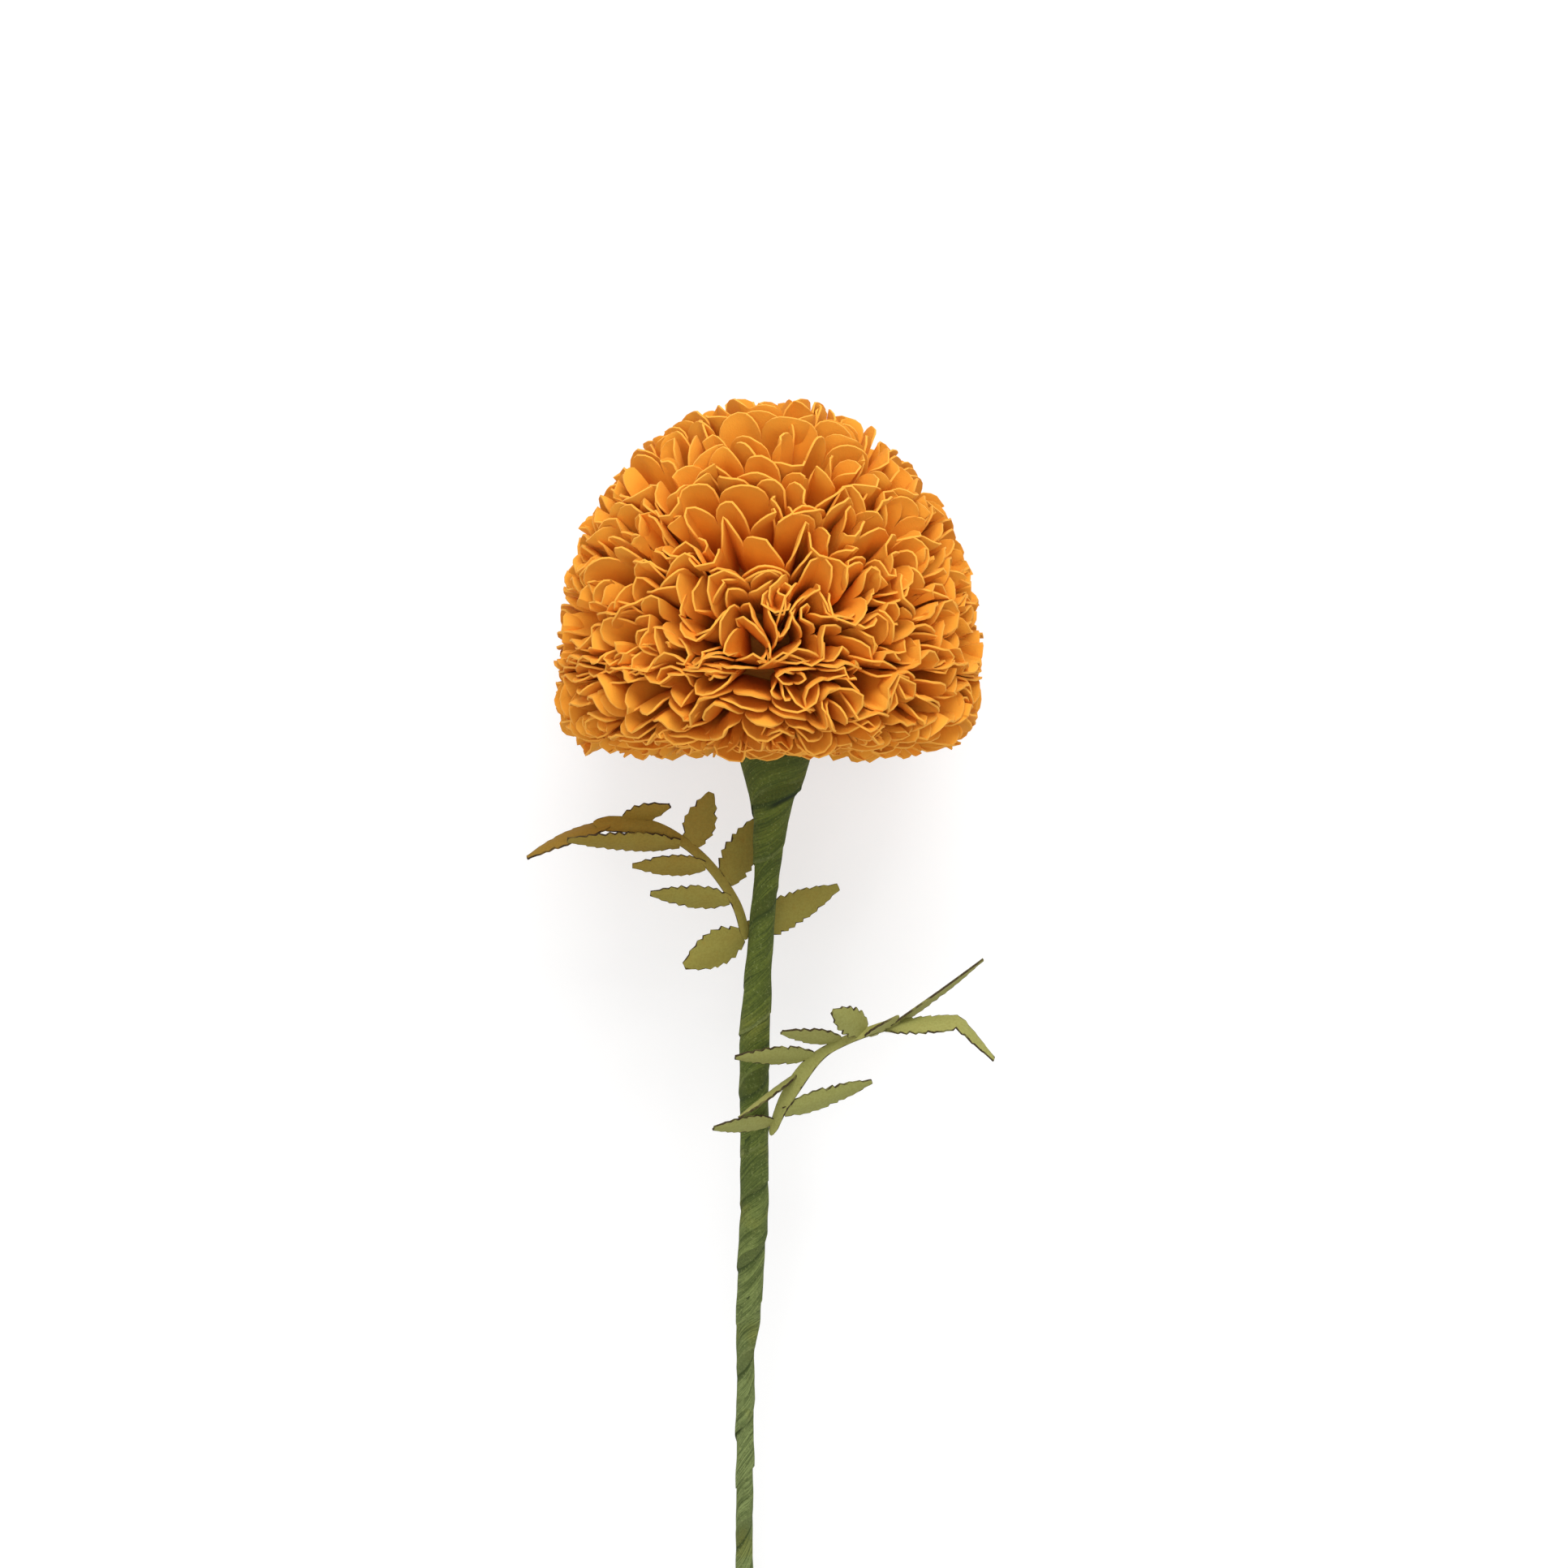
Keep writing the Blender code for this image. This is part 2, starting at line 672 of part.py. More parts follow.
def main():
    """Builds the flower and lays it on the table."""
    clear_scene()
    materials = make_materials()
    frame = bpy.data.objects.new("flower_frame", None)
    bpy.context.scene.collection.objects.link(frame)
    build_core(materials, frame)
    build_petals(materials, frame)
    build_stem_wire(materials, frame)
    build_stem_wrap(materials, frame)
    for sprig in (UPPER_SPRIG, LOWER_SPRIG):
        build_sprig(sprig, materials, frame)
        build_leaf_wire(sprig, materials, frame)
    lay_down(frame)


main()
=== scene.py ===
"""The looks of a paper marigold that lies on a white table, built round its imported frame.

Everything is modelled in the flower's own frame, as the solids are: Z runs up the flower, Z = 0 is
the underside of the head, X is to the right and -Y faces the viewer. A finished piece is then laid
down on the table. Lengths are in metres and angles in radians, unless a name says otherwise.
"""

import logging
import math
import random
from dataclasses import dataclass, field
from enum import Enum
from typing import Any, Iterable, Sequence, Union

import bmesh
import bpy
import numpy as np
from bmesh.types import BMEdge, BMesh, BMVert
from bpy.types import ID, Material, Mesh, NodeSocket, Object, World
from mathutils import Matrix, Vector
from numpy import ndarray


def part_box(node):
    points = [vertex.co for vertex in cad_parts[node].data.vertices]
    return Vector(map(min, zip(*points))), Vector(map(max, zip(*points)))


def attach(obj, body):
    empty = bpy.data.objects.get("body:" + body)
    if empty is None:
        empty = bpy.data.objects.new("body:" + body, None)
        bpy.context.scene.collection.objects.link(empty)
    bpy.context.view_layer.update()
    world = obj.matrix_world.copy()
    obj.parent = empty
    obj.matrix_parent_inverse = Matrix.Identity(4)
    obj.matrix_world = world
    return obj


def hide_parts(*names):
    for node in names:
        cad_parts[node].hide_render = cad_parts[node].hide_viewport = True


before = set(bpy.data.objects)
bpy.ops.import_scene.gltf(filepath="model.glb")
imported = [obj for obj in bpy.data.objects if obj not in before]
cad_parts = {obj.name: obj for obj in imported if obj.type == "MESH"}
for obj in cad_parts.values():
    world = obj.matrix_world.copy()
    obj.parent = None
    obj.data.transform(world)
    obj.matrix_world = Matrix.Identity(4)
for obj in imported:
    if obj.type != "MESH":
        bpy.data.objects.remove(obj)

MM = 0.001
LOG = logging.getLogger("marigold")
SHARP_EDGE_DEG = 52.0
SAME_POINT = 0.001 * MM
CUT_GAP = 0.0001 * MM
TINY = 1e-9
Colour = tuple[float, float, float]
Span = tuple[float, float]
Table = tuple[tuple[float, ...], tuple[float, ...]]


# Shader graph helpers


class Link:
    """An output socket of a node tree. Python's operators on it add Math nodes."""

    def __init__(self, tree: "Graph", socket: NodeSocket) -> None:
        """Keeps the graph that the socket is in, and the socket."""
        self.tree = tree
        self.socket = socket

    def maths(self, operation: str, first: "Term", second: "Term" = 0.0) -> "Link":
        """Adds one Math node."""
        return self.tree.node("ShaderNodeMath", {"operation": operation}, {0: first, 1: second})

    def __add__(self, other: "Term") -> "Link":
        """Sum."""
        return self.maths("ADD", self, other)

    def __radd__(self, other: "Term") -> "Link":
        """Sum, with the number first."""
        return self.maths("ADD", other, self)

    def __sub__(self, other: "Term") -> "Link":
        """Difference."""
        return self.maths("SUBTRACT", self, other)

    def __rsub__(self, other: "Term") -> "Link":
        """Difference, with the number first."""
        return self.maths("SUBTRACT", other, self)

    def __mul__(self, other: "Term") -> "Link":
        """Product."""
        return self.maths("MULTIPLY", self, other)

    def __rmul__(self, other: "Term") -> "Link":
        """Product, with the number first."""
        return self.maths("MULTIPLY", other, self)

    def clipped(self) -> "Link":
        """The value, held between 0 and 1."""
        return self.tree.node("ShaderNodeClamp", {}, {"Value": self})

    def ramped(self, start: float, end: float) -> "Link":
        """Turns the value into a share.

        Args:
            start: The value that becomes 0.
            end: The value that becomes 1, which may be the lower of the two.

        Returns:
            The share, smooth between the two and held outside them.
        """
        return self.tree.node(
            "ShaderNodeMapRange",
            {"interpolation_type": "SMOOTHSTEP"},
            {"Value": self, "From Min": start, "From Max": end},
        )


Term = Union[Link, float, Sequence[float]]


class Graph:
    """The node tree of one material or world, written to by name."""

    def __init__(self, owner: Union[Material, World]) -> None:
        """Takes a tree over and empties it.

        Args:
            owner: The material or world that the tree belongs to.
        """
        self.owner = owner
        self.owner.use_nodes = True
        self.nodes = self.owner.node_tree.nodes
        self.links = self.owner.node_tree.links
        self.nodes.clear()

    @classmethod
    def named(cls, name: str) -> "Graph":
        """Makes a material of that name with an empty tree."""
        return cls(bpy.data.materials.new(name))

    def node(
        self,
        kind: str,
        settings: dict[str, Any],
        inputs: dict[Union[str, int], Term],
        output: Union[str, int] = 0,
    ) -> Link:
        """Adds one node.

        Args:
            kind: The node's type.
            settings: Its properties, which are set first.
            inputs: A value or a link for each socket, by name or number.
            output: The socket that is handed back.

        Returns:
            The link of that output.
        """
        made = self.nodes.new(kind)
        for name, value in settings.items():
            setattr(made, name, value)
        for name, value in inputs.items():
            socket = made.inputs[name]
            if isinstance(value, Link):
                self.links.new(value.socket, socket)
            elif socket.type == "RGBA" and len(value) == 3:
                socket.default_value = (*value, 1.0)
            else:
                socket.default_value = value
        return Link(self, made.outputs[output])

    def place(self) -> Link:
        """The point's place on the object."""
        return self.node("ShaderNodeTexCoord", {}, {}, "Object")

    def attribute(self, name: str) -> Link:
        """A number that the mesh carries."""
        return self.node("ShaderNodeAttribute", {"attribute_name": name}, {}, "Fac")

    def noise(self, place: Link, scale: float, detail: float, roughness: float = 0.5) -> Link:
        """Cloudy noise from 0 to 1, with its clouds per metre and its finer layers."""
        inputs = {"Vector": place, "Scale": scale, "Detail": detail, "Roughness": roughness}
        return self.node("ShaderNodeTexNoise", {}, inputs, "Fac")

    def stretched(self, place: Link, scale: Sequence[float]) -> Link:
        """Scales a place along each axis."""
        inputs = {"Vector": place, "Scale": scale}
        return self.node("ShaderNodeMapping", {"vector_type": "POINT"}, inputs)

    def blend(self, share: Term, first: Term, second: Term, way: str = "MIX") -> Link:
        """Mixes two colours, the second by that share."""
        settings = {"data_type": "RGBA", "blend_type": way}
        return self.node("ShaderNodeMix", settings, {0: share, 6: first, 7: second}, 2)

    def bump(self, height: Link, depth: float, **start: Link) -> Link:
        """A normal, bumped by a height whose 1 stands for that depth."""
        inputs = {"Height": height, "Distance": depth, "Strength": 1.0, **start}
        return self.node("ShaderNodeBump", {}, inputs)

    def finish(self, **sockets: Term) -> Material:
        """Adds the Principled shader and the output.

        Args:
            **sockets: The shader's sockets, with underscores for spaces.

        Returns:
            The material.
        """
        named = {name.replace("_", " "): value for name, value in sockets.items()}
        shader = self.node("ShaderNodeBsdfPrincipled", {}, named)
        self.close("ShaderNodeOutputMaterial", shader)
        return self.owner

    def close(self, kind: str, shader: Link) -> None:
        """Adds the output node and joins the shader to it."""
        self.links.new(shader.socket, self.nodes.new(kind).inputs["Surface"])

    def seen(self) -> Link:
        """Tells the camera's own rays from the light's.

        Returns:
            1 for rays from the camera, also by way of gloss or glass, and 0 for the rest.
        """
        names = ("Is Camera Ray", "Is Glossy Ray", "Is Transmission Ray")
        camera, gloss, glass = (self.node("ShaderNodeLightPath", {}, {}, name) for name in names)
        return (camera + gloss + glass).clipped()


# Finishes


@dataclass(frozen=True)
class PetalPaper:
    """Matt orange paper with painted light and shade: lighter tips, a painted highlight on its cut
    edges, and painted shade that turns it darker and redder towards the core.
    """

    lit_tip: Colour = (0.92, 0.41, 0.040)
    body: Colour = (0.87, 0.34, 0.024)
    deep_shade: Colour = (0.70, 0.20, 0.011)
    cut_edge_highlight: Colour = (0.94, 0.49, 0.09)
    shaded: Colour = (0.95, 0.88, 0.70)
    flecked: Colour = (0.75, 0.55, 0.35)

    def make(self) -> Material:
        """Builds the material.

        Returns:
            The material.
        """
        graph = Graph.named("petal_paper_finish")
        place = graph.place()
        inward = graph.attribute("inward_mm")
        shade = graph.attribute("petal_shade")
        cloud = graph.noise(place, 130.0, 2.0)
        fibre = graph.noise(place, 2600.0, 3.0, 0.6)
        # Painted light and shade: lighter, yellower tips, and darker, redder paper further in,
        # where shade falls deep in the head.
        tips = graph.blend(inward.ramped(0.0, 6.0), self.lit_tip, self.body)
        colour = graph.blend(inward.ramped(5.0, 15.0), tips, self.deep_shade)
        darkness = (shade * 0.7 + cloud * 0.5 - 0.2).clipped()
        colour = graph.blend(darkness, colour, self.shaded, "MULTIPLY")
        colour = graph.blend(0.16 * fibre, colour, self.flecked, "MULTIPLY")
        # Painted highlight: a lighter band along each petal's cut edge.
        colour = graph.blend(0.28 * (1.0 - inward.ramped(0.0, 0.4)), colour, self.cut_edge_highlight)
        return graph.finish(
            Base_Color=colour,
            Roughness=0.86,
            Specular_IOR_Level=0.3,
            Normal=graph.bump(fibre, 0.00006, Normal=graph.bump(cloud, 0.0004)),
        )


@dataclass(frozen=True)
class CorePaper:
    """Rolled orange paper."""

    light: Colour = (0.66, 0.26, 0.03)
    dark: Colour = (0.50, 0.17, 0.015)

    def make(self) -> Material:
        """Builds the material.

        Returns:
            The material.
        """
        graph = Graph.named("core_paper_finish")
        place = graph.stretched(graph.place(), (1.0, 9.0, 1.0))
        layers = graph.noise(place, 160.0, 4.0)
        return graph.finish(
            Base_Color=graph.blend(layers, self.dark, self.light),
            Roughness=0.9,
            Normal=graph.bump(layers, 0.0003),
        )


@dataclass(frozen=True)
class CrepePaper:
    """Green crepe paper with fine crinkles across the strip, paler down the stem, with painted
    shade in its hollows, under the laps and in the tuck fold, and painted highlights on the lap
    edges.
    """

    # The dark colour serves both the paper's mottling and its painted shade, the fold colour is a
    # painted shadow, and the fleck colour also gives a painted highlight.
    dark: Colour = (0.036, 0.056, 0.010)
    fold: Colour = (0.010, 0.018, 0.004)
    body: Colour = (0.125, 0.160, 0.024)
    lower: Colour = (0.25, 0.31, 0.105)
    olive: Colour = (0.25, 0.25, 0.045)
    fleck_and_highlight: Colour = (0.36, 0.40, 0.15)

    def make(self) -> Material:
        """Builds the material.

        Returns:
            The material.
        """
        graph = Graph.named("crepe_paper_finish")
        strip = graph.node("ShaderNodeUVMap", {"uv_map": "strip"}, {})
        place = graph.place()
        across = graph.attribute("strip_share")
        down = graph.attribute("down_mm")
        tuck = graph.attribute("tuck_mm")
        crinkle = graph.noise(graph.stretched(strip, (140.0, 2600.0, 1.0)), 1.0, 4.0, 0.65)
        grain = graph.noise(place, 1900.0, 3.0, 0.7)
        patch = graph.noise(place, 75.0, 3.0, 0.6)
        cloud = graph.noise(graph.stretched(strip, (60.0, 420.0, 1.0)), 1.0, 3.0, 0.6)
        colour = graph.blend(down.ramped(60.0, 150.0), self.body, self.lower)
        # Painted highlight: a lighter band, in patches, along each lap's raised free edge.
        lap_highlight = across.ramped(0.90, 0.97) * patch.ramped(0.42, 0.60)
        # Painted shadow: a near-black band just below the fold where the strip is tucked under,
        # below the head.
        hollow = (tuck + 0.8 * crinkle - 0.4).ramped(-0.2, 0.2) * tuck.ramped(1.7, 0.5)
        hollow = hollow * graph.attribute("tuck_share") * down.ramped(7.2, 8.4)
        for share, tone in (
            (patch.ramped(0.5, 0.7) * down.ramped(30.0, 80.0) * 0.8, self.olive),
            (cloud.ramped(0.58, 0.36) * 0.55, self.dark),
            # Painted shade: darker in the crinkles' hollows, where the bump is low.
            (crinkle.ramped(0.60, 0.34) * 0.75, self.dark),
            # Painted shade: darker just under the lap of the turn above.
            (across.ramped(0.14, 0.0) * 0.9, self.dark),
            (lap_highlight * 0.22, self.fleck_and_highlight),
            (grain.ramped(0.56, 0.74) * 0.5, self.fleck_and_highlight),
            (grain.ramped(0.46, 0.34) * 0.4, self.dark),
            (hollow * 0.95, self.fold),
        ):
            colour = graph.blend(share.clipped(), colour, tone)
        height = 0.75 * crinkle + 0.25 * grain
        return graph.finish(
            Base_Color=colour,
            Roughness=0.88,
            Specular_IOR_Level=0.25,
            Normal=graph.bump(height, 0.00022),
        )


@dataclass(frozen=True)
class LeafCard:
    """Card that was cut with heat: matt, fibrous, with scorched brown edges."""

    name: str
    body: Colour
    warm: Colour
    scorched: Colour = (0.035, 0.018, 0.006)
    fibrous: Colour = (0.70, 0.66, 0.50)

    def make(self) -> Material:
        """Builds the material.

        Returns:
            The material.
        """
        graph = Graph.named(self.name)
        place = graph.place()
        edge = graph.attribute("edge_mm")
        warmth = graph.attribute("warmth")
        fibre = graph.noise(place, 2000.0, 4.0, 0.7)
        cloud = graph.noise(place, 210.0, 3.0)
        scorch = graph.noise(place, 700.0, 2.0)
        colour = graph.blend((warmth + cloud * 0.5 - 0.25).clipped(), self.body, self.warm)
        fibres = (fibre.ramped(0.35, 0.7) * 0.5).clipped()
        colour = graph.blend(fibres, colour, self.fibrous, "MULTIPLY")
        colour = graph.blend((scorch.ramped(0.58, 0.8) * 0.35).clipped(), colour, self.warm)
        burnt = 1.0 - (edge - 0.22 * scorch.ramped(0.45, 0.75)).ramped(-0.02, 0.06)
        patch = graph.noise(place, 330.0, 2.0).ramped(0.36, 0.56) * 0.7 + 0.25
        colour = graph.blend((burnt * patch).clipped(), colour, self.scorched)
        return graph.finish(
            Base_Color=colour,
            Roughness=0.82,
            Specular_IOR_Level=0.3,
            Normal=graph.bump(fibre, 0.00006),
        )


@dataclass(frozen=True)
class FloristWire:
    """Drawn steel wire, dulled and a little rusty."""

    name: str = "florist_wire_finish"
    bright: Colour = (0.36, 0.35, 0.31)
    dull: Colour = (0.10, 0.085, 0.05)

    def make(self) -> Material:
        """Builds the material.

        Returns:
            The material.
        """
        graph = Graph.named(self.name)
        place = graph.place()
        spots = graph.noise(place, 480.0, 4.0, 0.7)
        scratches = graph.noise(graph.stretched(place, (1.0, 0.12, 1.0)), 3500.0, 2.0)
        return graph.finish(
            Base_Color=graph.blend(spots.ramped(0.4, 0.7), self.bright, self.dull),
            Metallic=1.0 - 0.6 * spots.ramped(0.4, 0.7),
            Roughness=0.35 + 0.3 * scratches,
            Normal=graph.bump(scratches, 0.00002),
        )


# Mesh helpers


@dataclass(frozen=True)
class LyingFlower:
    """How the flower's own frame lies on the table."""

    axis_height: float = 42.5 * MM
    core_top: float = 55.5 * MM

    def matrix(self) -> Matrix:
        """Reads from the core's place how the flower lies.

        Returns:
            The move from the flower's frame to the part's frame.
        """
        low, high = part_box("head_core")
        origin = Vector(((low.x + high.x) / 2, high.y - self.core_top, (low.z + high.z) / 2))
        return Matrix.Translation(origin) @ Matrix.Rotation(-math.pi / 2, 4, "X")

    def press(self, bm: BMesh) -> None:
        """Moves what reaches past the table back to its surface."""
        for vert in bm.verts:
            vert.co.y = min(vert.co.y, self.axis_height)


LYING = LyingFlower()


def put(name: str, data: ID) -> Object:
    """Puts a new object into the scene.

    Args:
        name: Its name.
        data: Its mesh, lamp or camera.

    Returns:
        The object.
    """
    thing = bpy.data.objects.new(name, data)
    bpy.context.scene.collection.objects.link(thing)
    return thing


def mesh_from(name: str, bm: BMesh) -> Mesh:
    """Writes a mesh down.

    Args:
        name: Its name.
        bm: The mesh, which is used up.

    Returns:
        The mesh as data.
    """
    mesh = bpy.data.meshes.new(name)
    bm.to_mesh(mesh)
    bm.free()
    return mesh


def add_piece(
    name: str, bm: BMesh, material: Material, nodes: Iterable[str]
) -> Object:
    """Lays a mesh down on the table as a finished piece of the flower.

    Args:
        name: The piece's name.
        bm: Its mesh in the flower's frame, which is used up.
        material: Its finish.
        nodes: The solids that it stands for.

    Returns:
        The piece.
    """
    bmesh.ops.transform(bm, matrix=LYING.matrix(), verts=list(bm.verts))
    mesh = mesh_from(name, bm)
    mesh.shade_smooth()
    mesh.set_sharp_from_angle(angle=math.radians(SHARP_EDGE_DEG))
    mesh.materials.append(material)
    piece = put(name, mesh)
    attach(piece, "root")
    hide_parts(*nodes)
    return piece


def thicken(bm: BMesh, thickness: float) -> BMesh:
    """Makes closed sheets of open surfaces, half of the thickness on either side.

    Args:
        bm: The open surfaces, which are used up.
        thickness: The sheet's thickness.

    Returns:
        The closed mesh.
    """
    mesh = mesh_from("open_sheet", bm)
    thing = put("open_sheet", mesh)
    shell = thing.modifiers.new("thickness", "SOLIDIFY")
    shell.thickness = thickness
    shell.offset = 0.0
    shell.use_quality_normals = True
    bpy.context.view_layer.update()
    solid = bmesh.new()
    solid.from_object(thing, bpy.context.evaluated_depsgraph_get())
    bpy.data.objects.remove(thing)
    bpy.data.meshes.remove(mesh)
    return solid


def numbered_mesh(*names: str) -> BMesh:
    """Makes an empty mesh whose vertices carry numbers.

    Args:
        *names: The numbers' names.

    Returns:
        The mesh.
    """
    bm = bmesh.new()
    for name in names:
        bm.verts.layers.float.new(name)
    return bm


def mark(bm: BMesh, vert: BMVert, **numbers: float) -> None:
    """Writes a vertex's numbers down.

    Args:
        bm: The mesh.
        vert: The vertex.
        **numbers: Each number by its name.
    """
    for name, number in numbers.items():
        vert[bm.verts.layers.float[name]] = number


def grid_of(bm: BMesh, columns: int, rows: int) -> list[tuple[BMVert, int, int]]:
    """Adds a grid and numbers its vertices.

    Args:
        bm: The mesh that it is added to.
        columns: Its steps across.
        rows: Its steps along.

    Returns:
        Each vertex with its column and row.
    """
    verts = bmesh.ops.create_grid(bm, x_segments=columns, y_segments=rows, size=1.0)["verts"]
    return [
        (vert, round((vert.co.x + 1) / 2 * columns), round((vert.co.y + 1) / 2 * rows))
        for vert in verts
    ]


# The head of petals


@dataclass(frozen=True)
class Bell:
    """A bell-shaped outline, measured from the point that all petals point away from."""

    radius: float
    rise: float
    drop: float
    skirt_power: float
    dome_power: float = 2.0

    def distance(self, polar: ndarray) -> ndarray:
        """Works out how far the outline is.

        Args:
            polar: Angles from the top.

        Returns:
            The distance at each angle.
        """
        below = polar > math.pi / 2
        power = np.where(below, self.skirt_power, self.dome_power)
        height = np.where(below, self.drop, self.rise)
        across = (np.sin(polar) / self.radius) ** power
        along = (np.abs(np.cos(polar)) / height) ** power
        return (across + along) ** (-1 / power)


HEAD = Bell(44.0 * MM, 53.0 * MM, 20.5 * MM, 6.0)
CORE = Bell(27.0 * MM, 35.0 * MM, 13.0 * MM, 2.2)


@dataclass
class PetalHead:
    """The head: gathered strips of petals, folded by a random field and cut from it in rounds.

    The field is an angle from the head's top, upset at each of its points, so its contours run
    round the head in sharp folds and never touch. Each contour becomes one strip of petals. A table
    gives values at some angles from the top, in degrees. A spread of lengths is in millimetres.
    """

    seed: int = 8
    field_subdivisions: int = 2
    field_cuts: int = 4
    slip: float = 0.038
    upset_deg: Table = ((20.0, 70.0, 97.0, 108.0), (6.5, 11.5, 11.5, 17.0))
    spacing_deg: float = 4.7
    first_spacing: float = 0.6
    last_deg: float = 156.0
    level_deg: Table = ((0.0, 97.0, 156.0), (0.0, 97.0, 172.0))
    pressed_deg: Table = ((0.0, 88.0, 103.0, 180.0), (0.0, 93.5, 97.5, 180.0))
    step: float = 0.4 * MM
    least_steps: int = 8
    paper: float = 0.4 * MM
    seat_gap: float = 0.5 * MM
    petal_width: float = 10.5 * MM
    least_strip: float = 0.7
    petal_columns: int = 10
    rows: tuple[float, ...] = (0.0, 0.35, 0.6, 0.74, 0.86, 0.95, 1.0)
    width_spread: Span = (0.75, 1.25)
    sharp_reach: int = 1
    soft_reach: int = 3
    softness_power: float = 1.6
    notch: float = 5.6 * MM
    notch_share: Span = (0.5, 1.0)
    lobe_spread: Span = (2.0, 2.7)
    lobe_round: float = 2.1
    tip_spread: Span = (-1.2, 0.3)
    lean_spread: Span = (-0.18, 0.18)
    curl_spread: Span = (-0.10, 0.10)
    curl: Table = ((40.0, 80.0, 105.0, 140.0), (0.06, 0.02, 0.0, 0.04))
    belly_spread: Span = (0.8, 2.5)
    belly_share: Table = ((15.0, 60.0), (0.6, 1.0))
    downward_chance: float = 0.35
    crease_spread: Span = (0.4, 1.0)
    puff: float = 0.8
    free_mm: float = 9.0
    fold_mm: float = 8.0
    puff_mm: float = 12.0
    bands: tuple[tuple[str, tuple[float, ...]], ...] = (
        ("tuft_petals", (7.5, 16.0)),
        ("crown_petals", (26.0, 35.5)),
        ("dome_petals", (46.0, 55.5, 65.5, 75.5, 84.5, 91.5, 95.5, 102.0, 110.5)),
        ("skirt_petals", (121.5, 133.0, 145.5)),
    )

    @staticmethod
    def unit(ways: ndarray) -> ndarray:
        """Brings directions to a length of 1."""
        return ways / np.maximum(np.linalg.norm(ways, axis=-1, keepdims=True), TINY)

    @staticmethod
    def polar(ways: ndarray) -> ndarray:
        """Angles from the top of directions that have a length of 1."""
        return np.arccos(np.clip(ways[..., 2], -1, 1))

    def levels(self) -> list[float]:
        """Chooses where the field is cut.

        Returns:
            The contours' angles.
        """
        even = np.arange(self.first_spacing * self.spacing_deg, self.last_deg, self.spacing_deg)
        angles = np.interp(even, *self.level_deg)
        return [float(angle) for angle in angles if angle < self.last_deg]

    def pressed(self, ways: ndarray) -> ndarray:
        """Squeezes directions together where a band of petals is pressed flat.

        Args:
            ways: The directions.

        Returns:
            The directions with their angle from the top changed.
        """
        ways = self.unit(ways)
        moved = np.radians(np.interp(np.degrees(self.polar(ways)), *self.pressed_deg))[..., None]
        across = self.unit(ways[..., :2])
        return np.concatenate([across * np.sin(moved), np.cos(moved)], axis=-1)

    def make_field(self, dice: random.Random) -> BMesh:
        """Makes the field as a mesh whose heights are the upset angles.

        Args:
            dice: Where the random numbers come from.

        Returns:
            The mesh, which keeps each point's direction in a layer.
        """
        bm = bmesh.new()
        bmesh.ops.create_icosphere(bm, subdivisions=self.field_subdivisions, radius=1.0)
        edges = list(bm.edges)
        bmesh.ops.subdivide_edges(bm, edges=edges, cuts=self.field_cuts, use_grid_fill=True)
        layer = bm.verts.layers.float_vector.new("direction")
        for vert in bm.verts:
            slip = Vector(dice.uniform(-1, 1) for _ in range(3)) * self.slip
            way = (vert.co + slip).normalized()
            polar = math.degrees(math.acos(max(-1.0, min(1.0, way.z))))
            level = polar + float(np.interp(polar, *self.upset_deg)) * dice.uniform(-1, 1)
            vert[layer] = way
            vert.co = Vector((way.x, way.y, math.radians(level)))
        return bm

    def contours(self, bm: BMesh, level_deg: float) -> list[ndarray]:
        """Cuts the field at one angle.

        Args:
            bm: The field.
            level_deg: The angle.

        Returns:
            The directions along each closed contour.
        """
        layer = bm.verts.layers.float_vector["direction"]
        cut = bmesh.ops.bisect_plane(
            bm,
            geom=list(bm.verts) + list(bm.edges) + list(bm.faces),
            dist=CUT_GAP,
            plane_co=(0.0, 0.0, math.radians(level_deg)),
            plane_no=(0.0, 0.0, 1.0),
        )["geom_cut"]
        edges = [item for item in cut if isinstance(item, BMEdge)]
        left = set(edges)
        found = []
        for edge in edges:
            if edge not in left:
                continue
            left.discard(edge)
            start, vert = edge.verts
            loop = [start, vert]
            while vert is not start:
                onward = next((other for other in vert.link_edges if other in left), None)
                if onward is None:
                    break
                left.discard(onward)
                vert = onward.other_vert(vert)
                loop.append(vert)
            if vert is start:
                found.append(np.array([tuple(point[layer]) for point in loop], float))
        return found

    def evenly(self, loop: ndarray) -> tuple[ndarray, float]:
        """Walks round a contour in even steps on the head's outside.

        Args:
            loop: The directions along it, the first repeated at the end.

        Returns:
            The directions at the steps, and the contour's length.
        """
        starts, spans = loop[:-1], loop[1:] - loop[:-1]
        fine = np.concatenate([starts + spans * part for part in (0, 0.25, 0.5, 0.75)], axis=1)
        ways = self.pressed(np.vstack([fine.reshape(-1, 3), loop[-1:]]))
        points = ways * HEAD.distance(self.polar(ways))[:, None]
        run = np.concatenate([[0.0], np.cumsum(np.linalg.norm(np.diff(points, axis=0), axis=1))])
        count = max(self.least_steps, round(run[-1] / self.step))
        at = np.linspace(0.0, run[-1], count, endpoint=False)
        even = np.stack([np.interp(at, run, ways[:, axis]) for axis in range(3)], axis=1)
        return even, float(run[-1])

    def softened(self, ways: ndarray, reach: int) -> ndarray:
        """Rounds the folds of an even contour by its mean over some steps to either side."""
        total = sum(np.roll(ways, shift, axis=0) for shift in range(-reach, reach + 1))
        return self.unit(total)

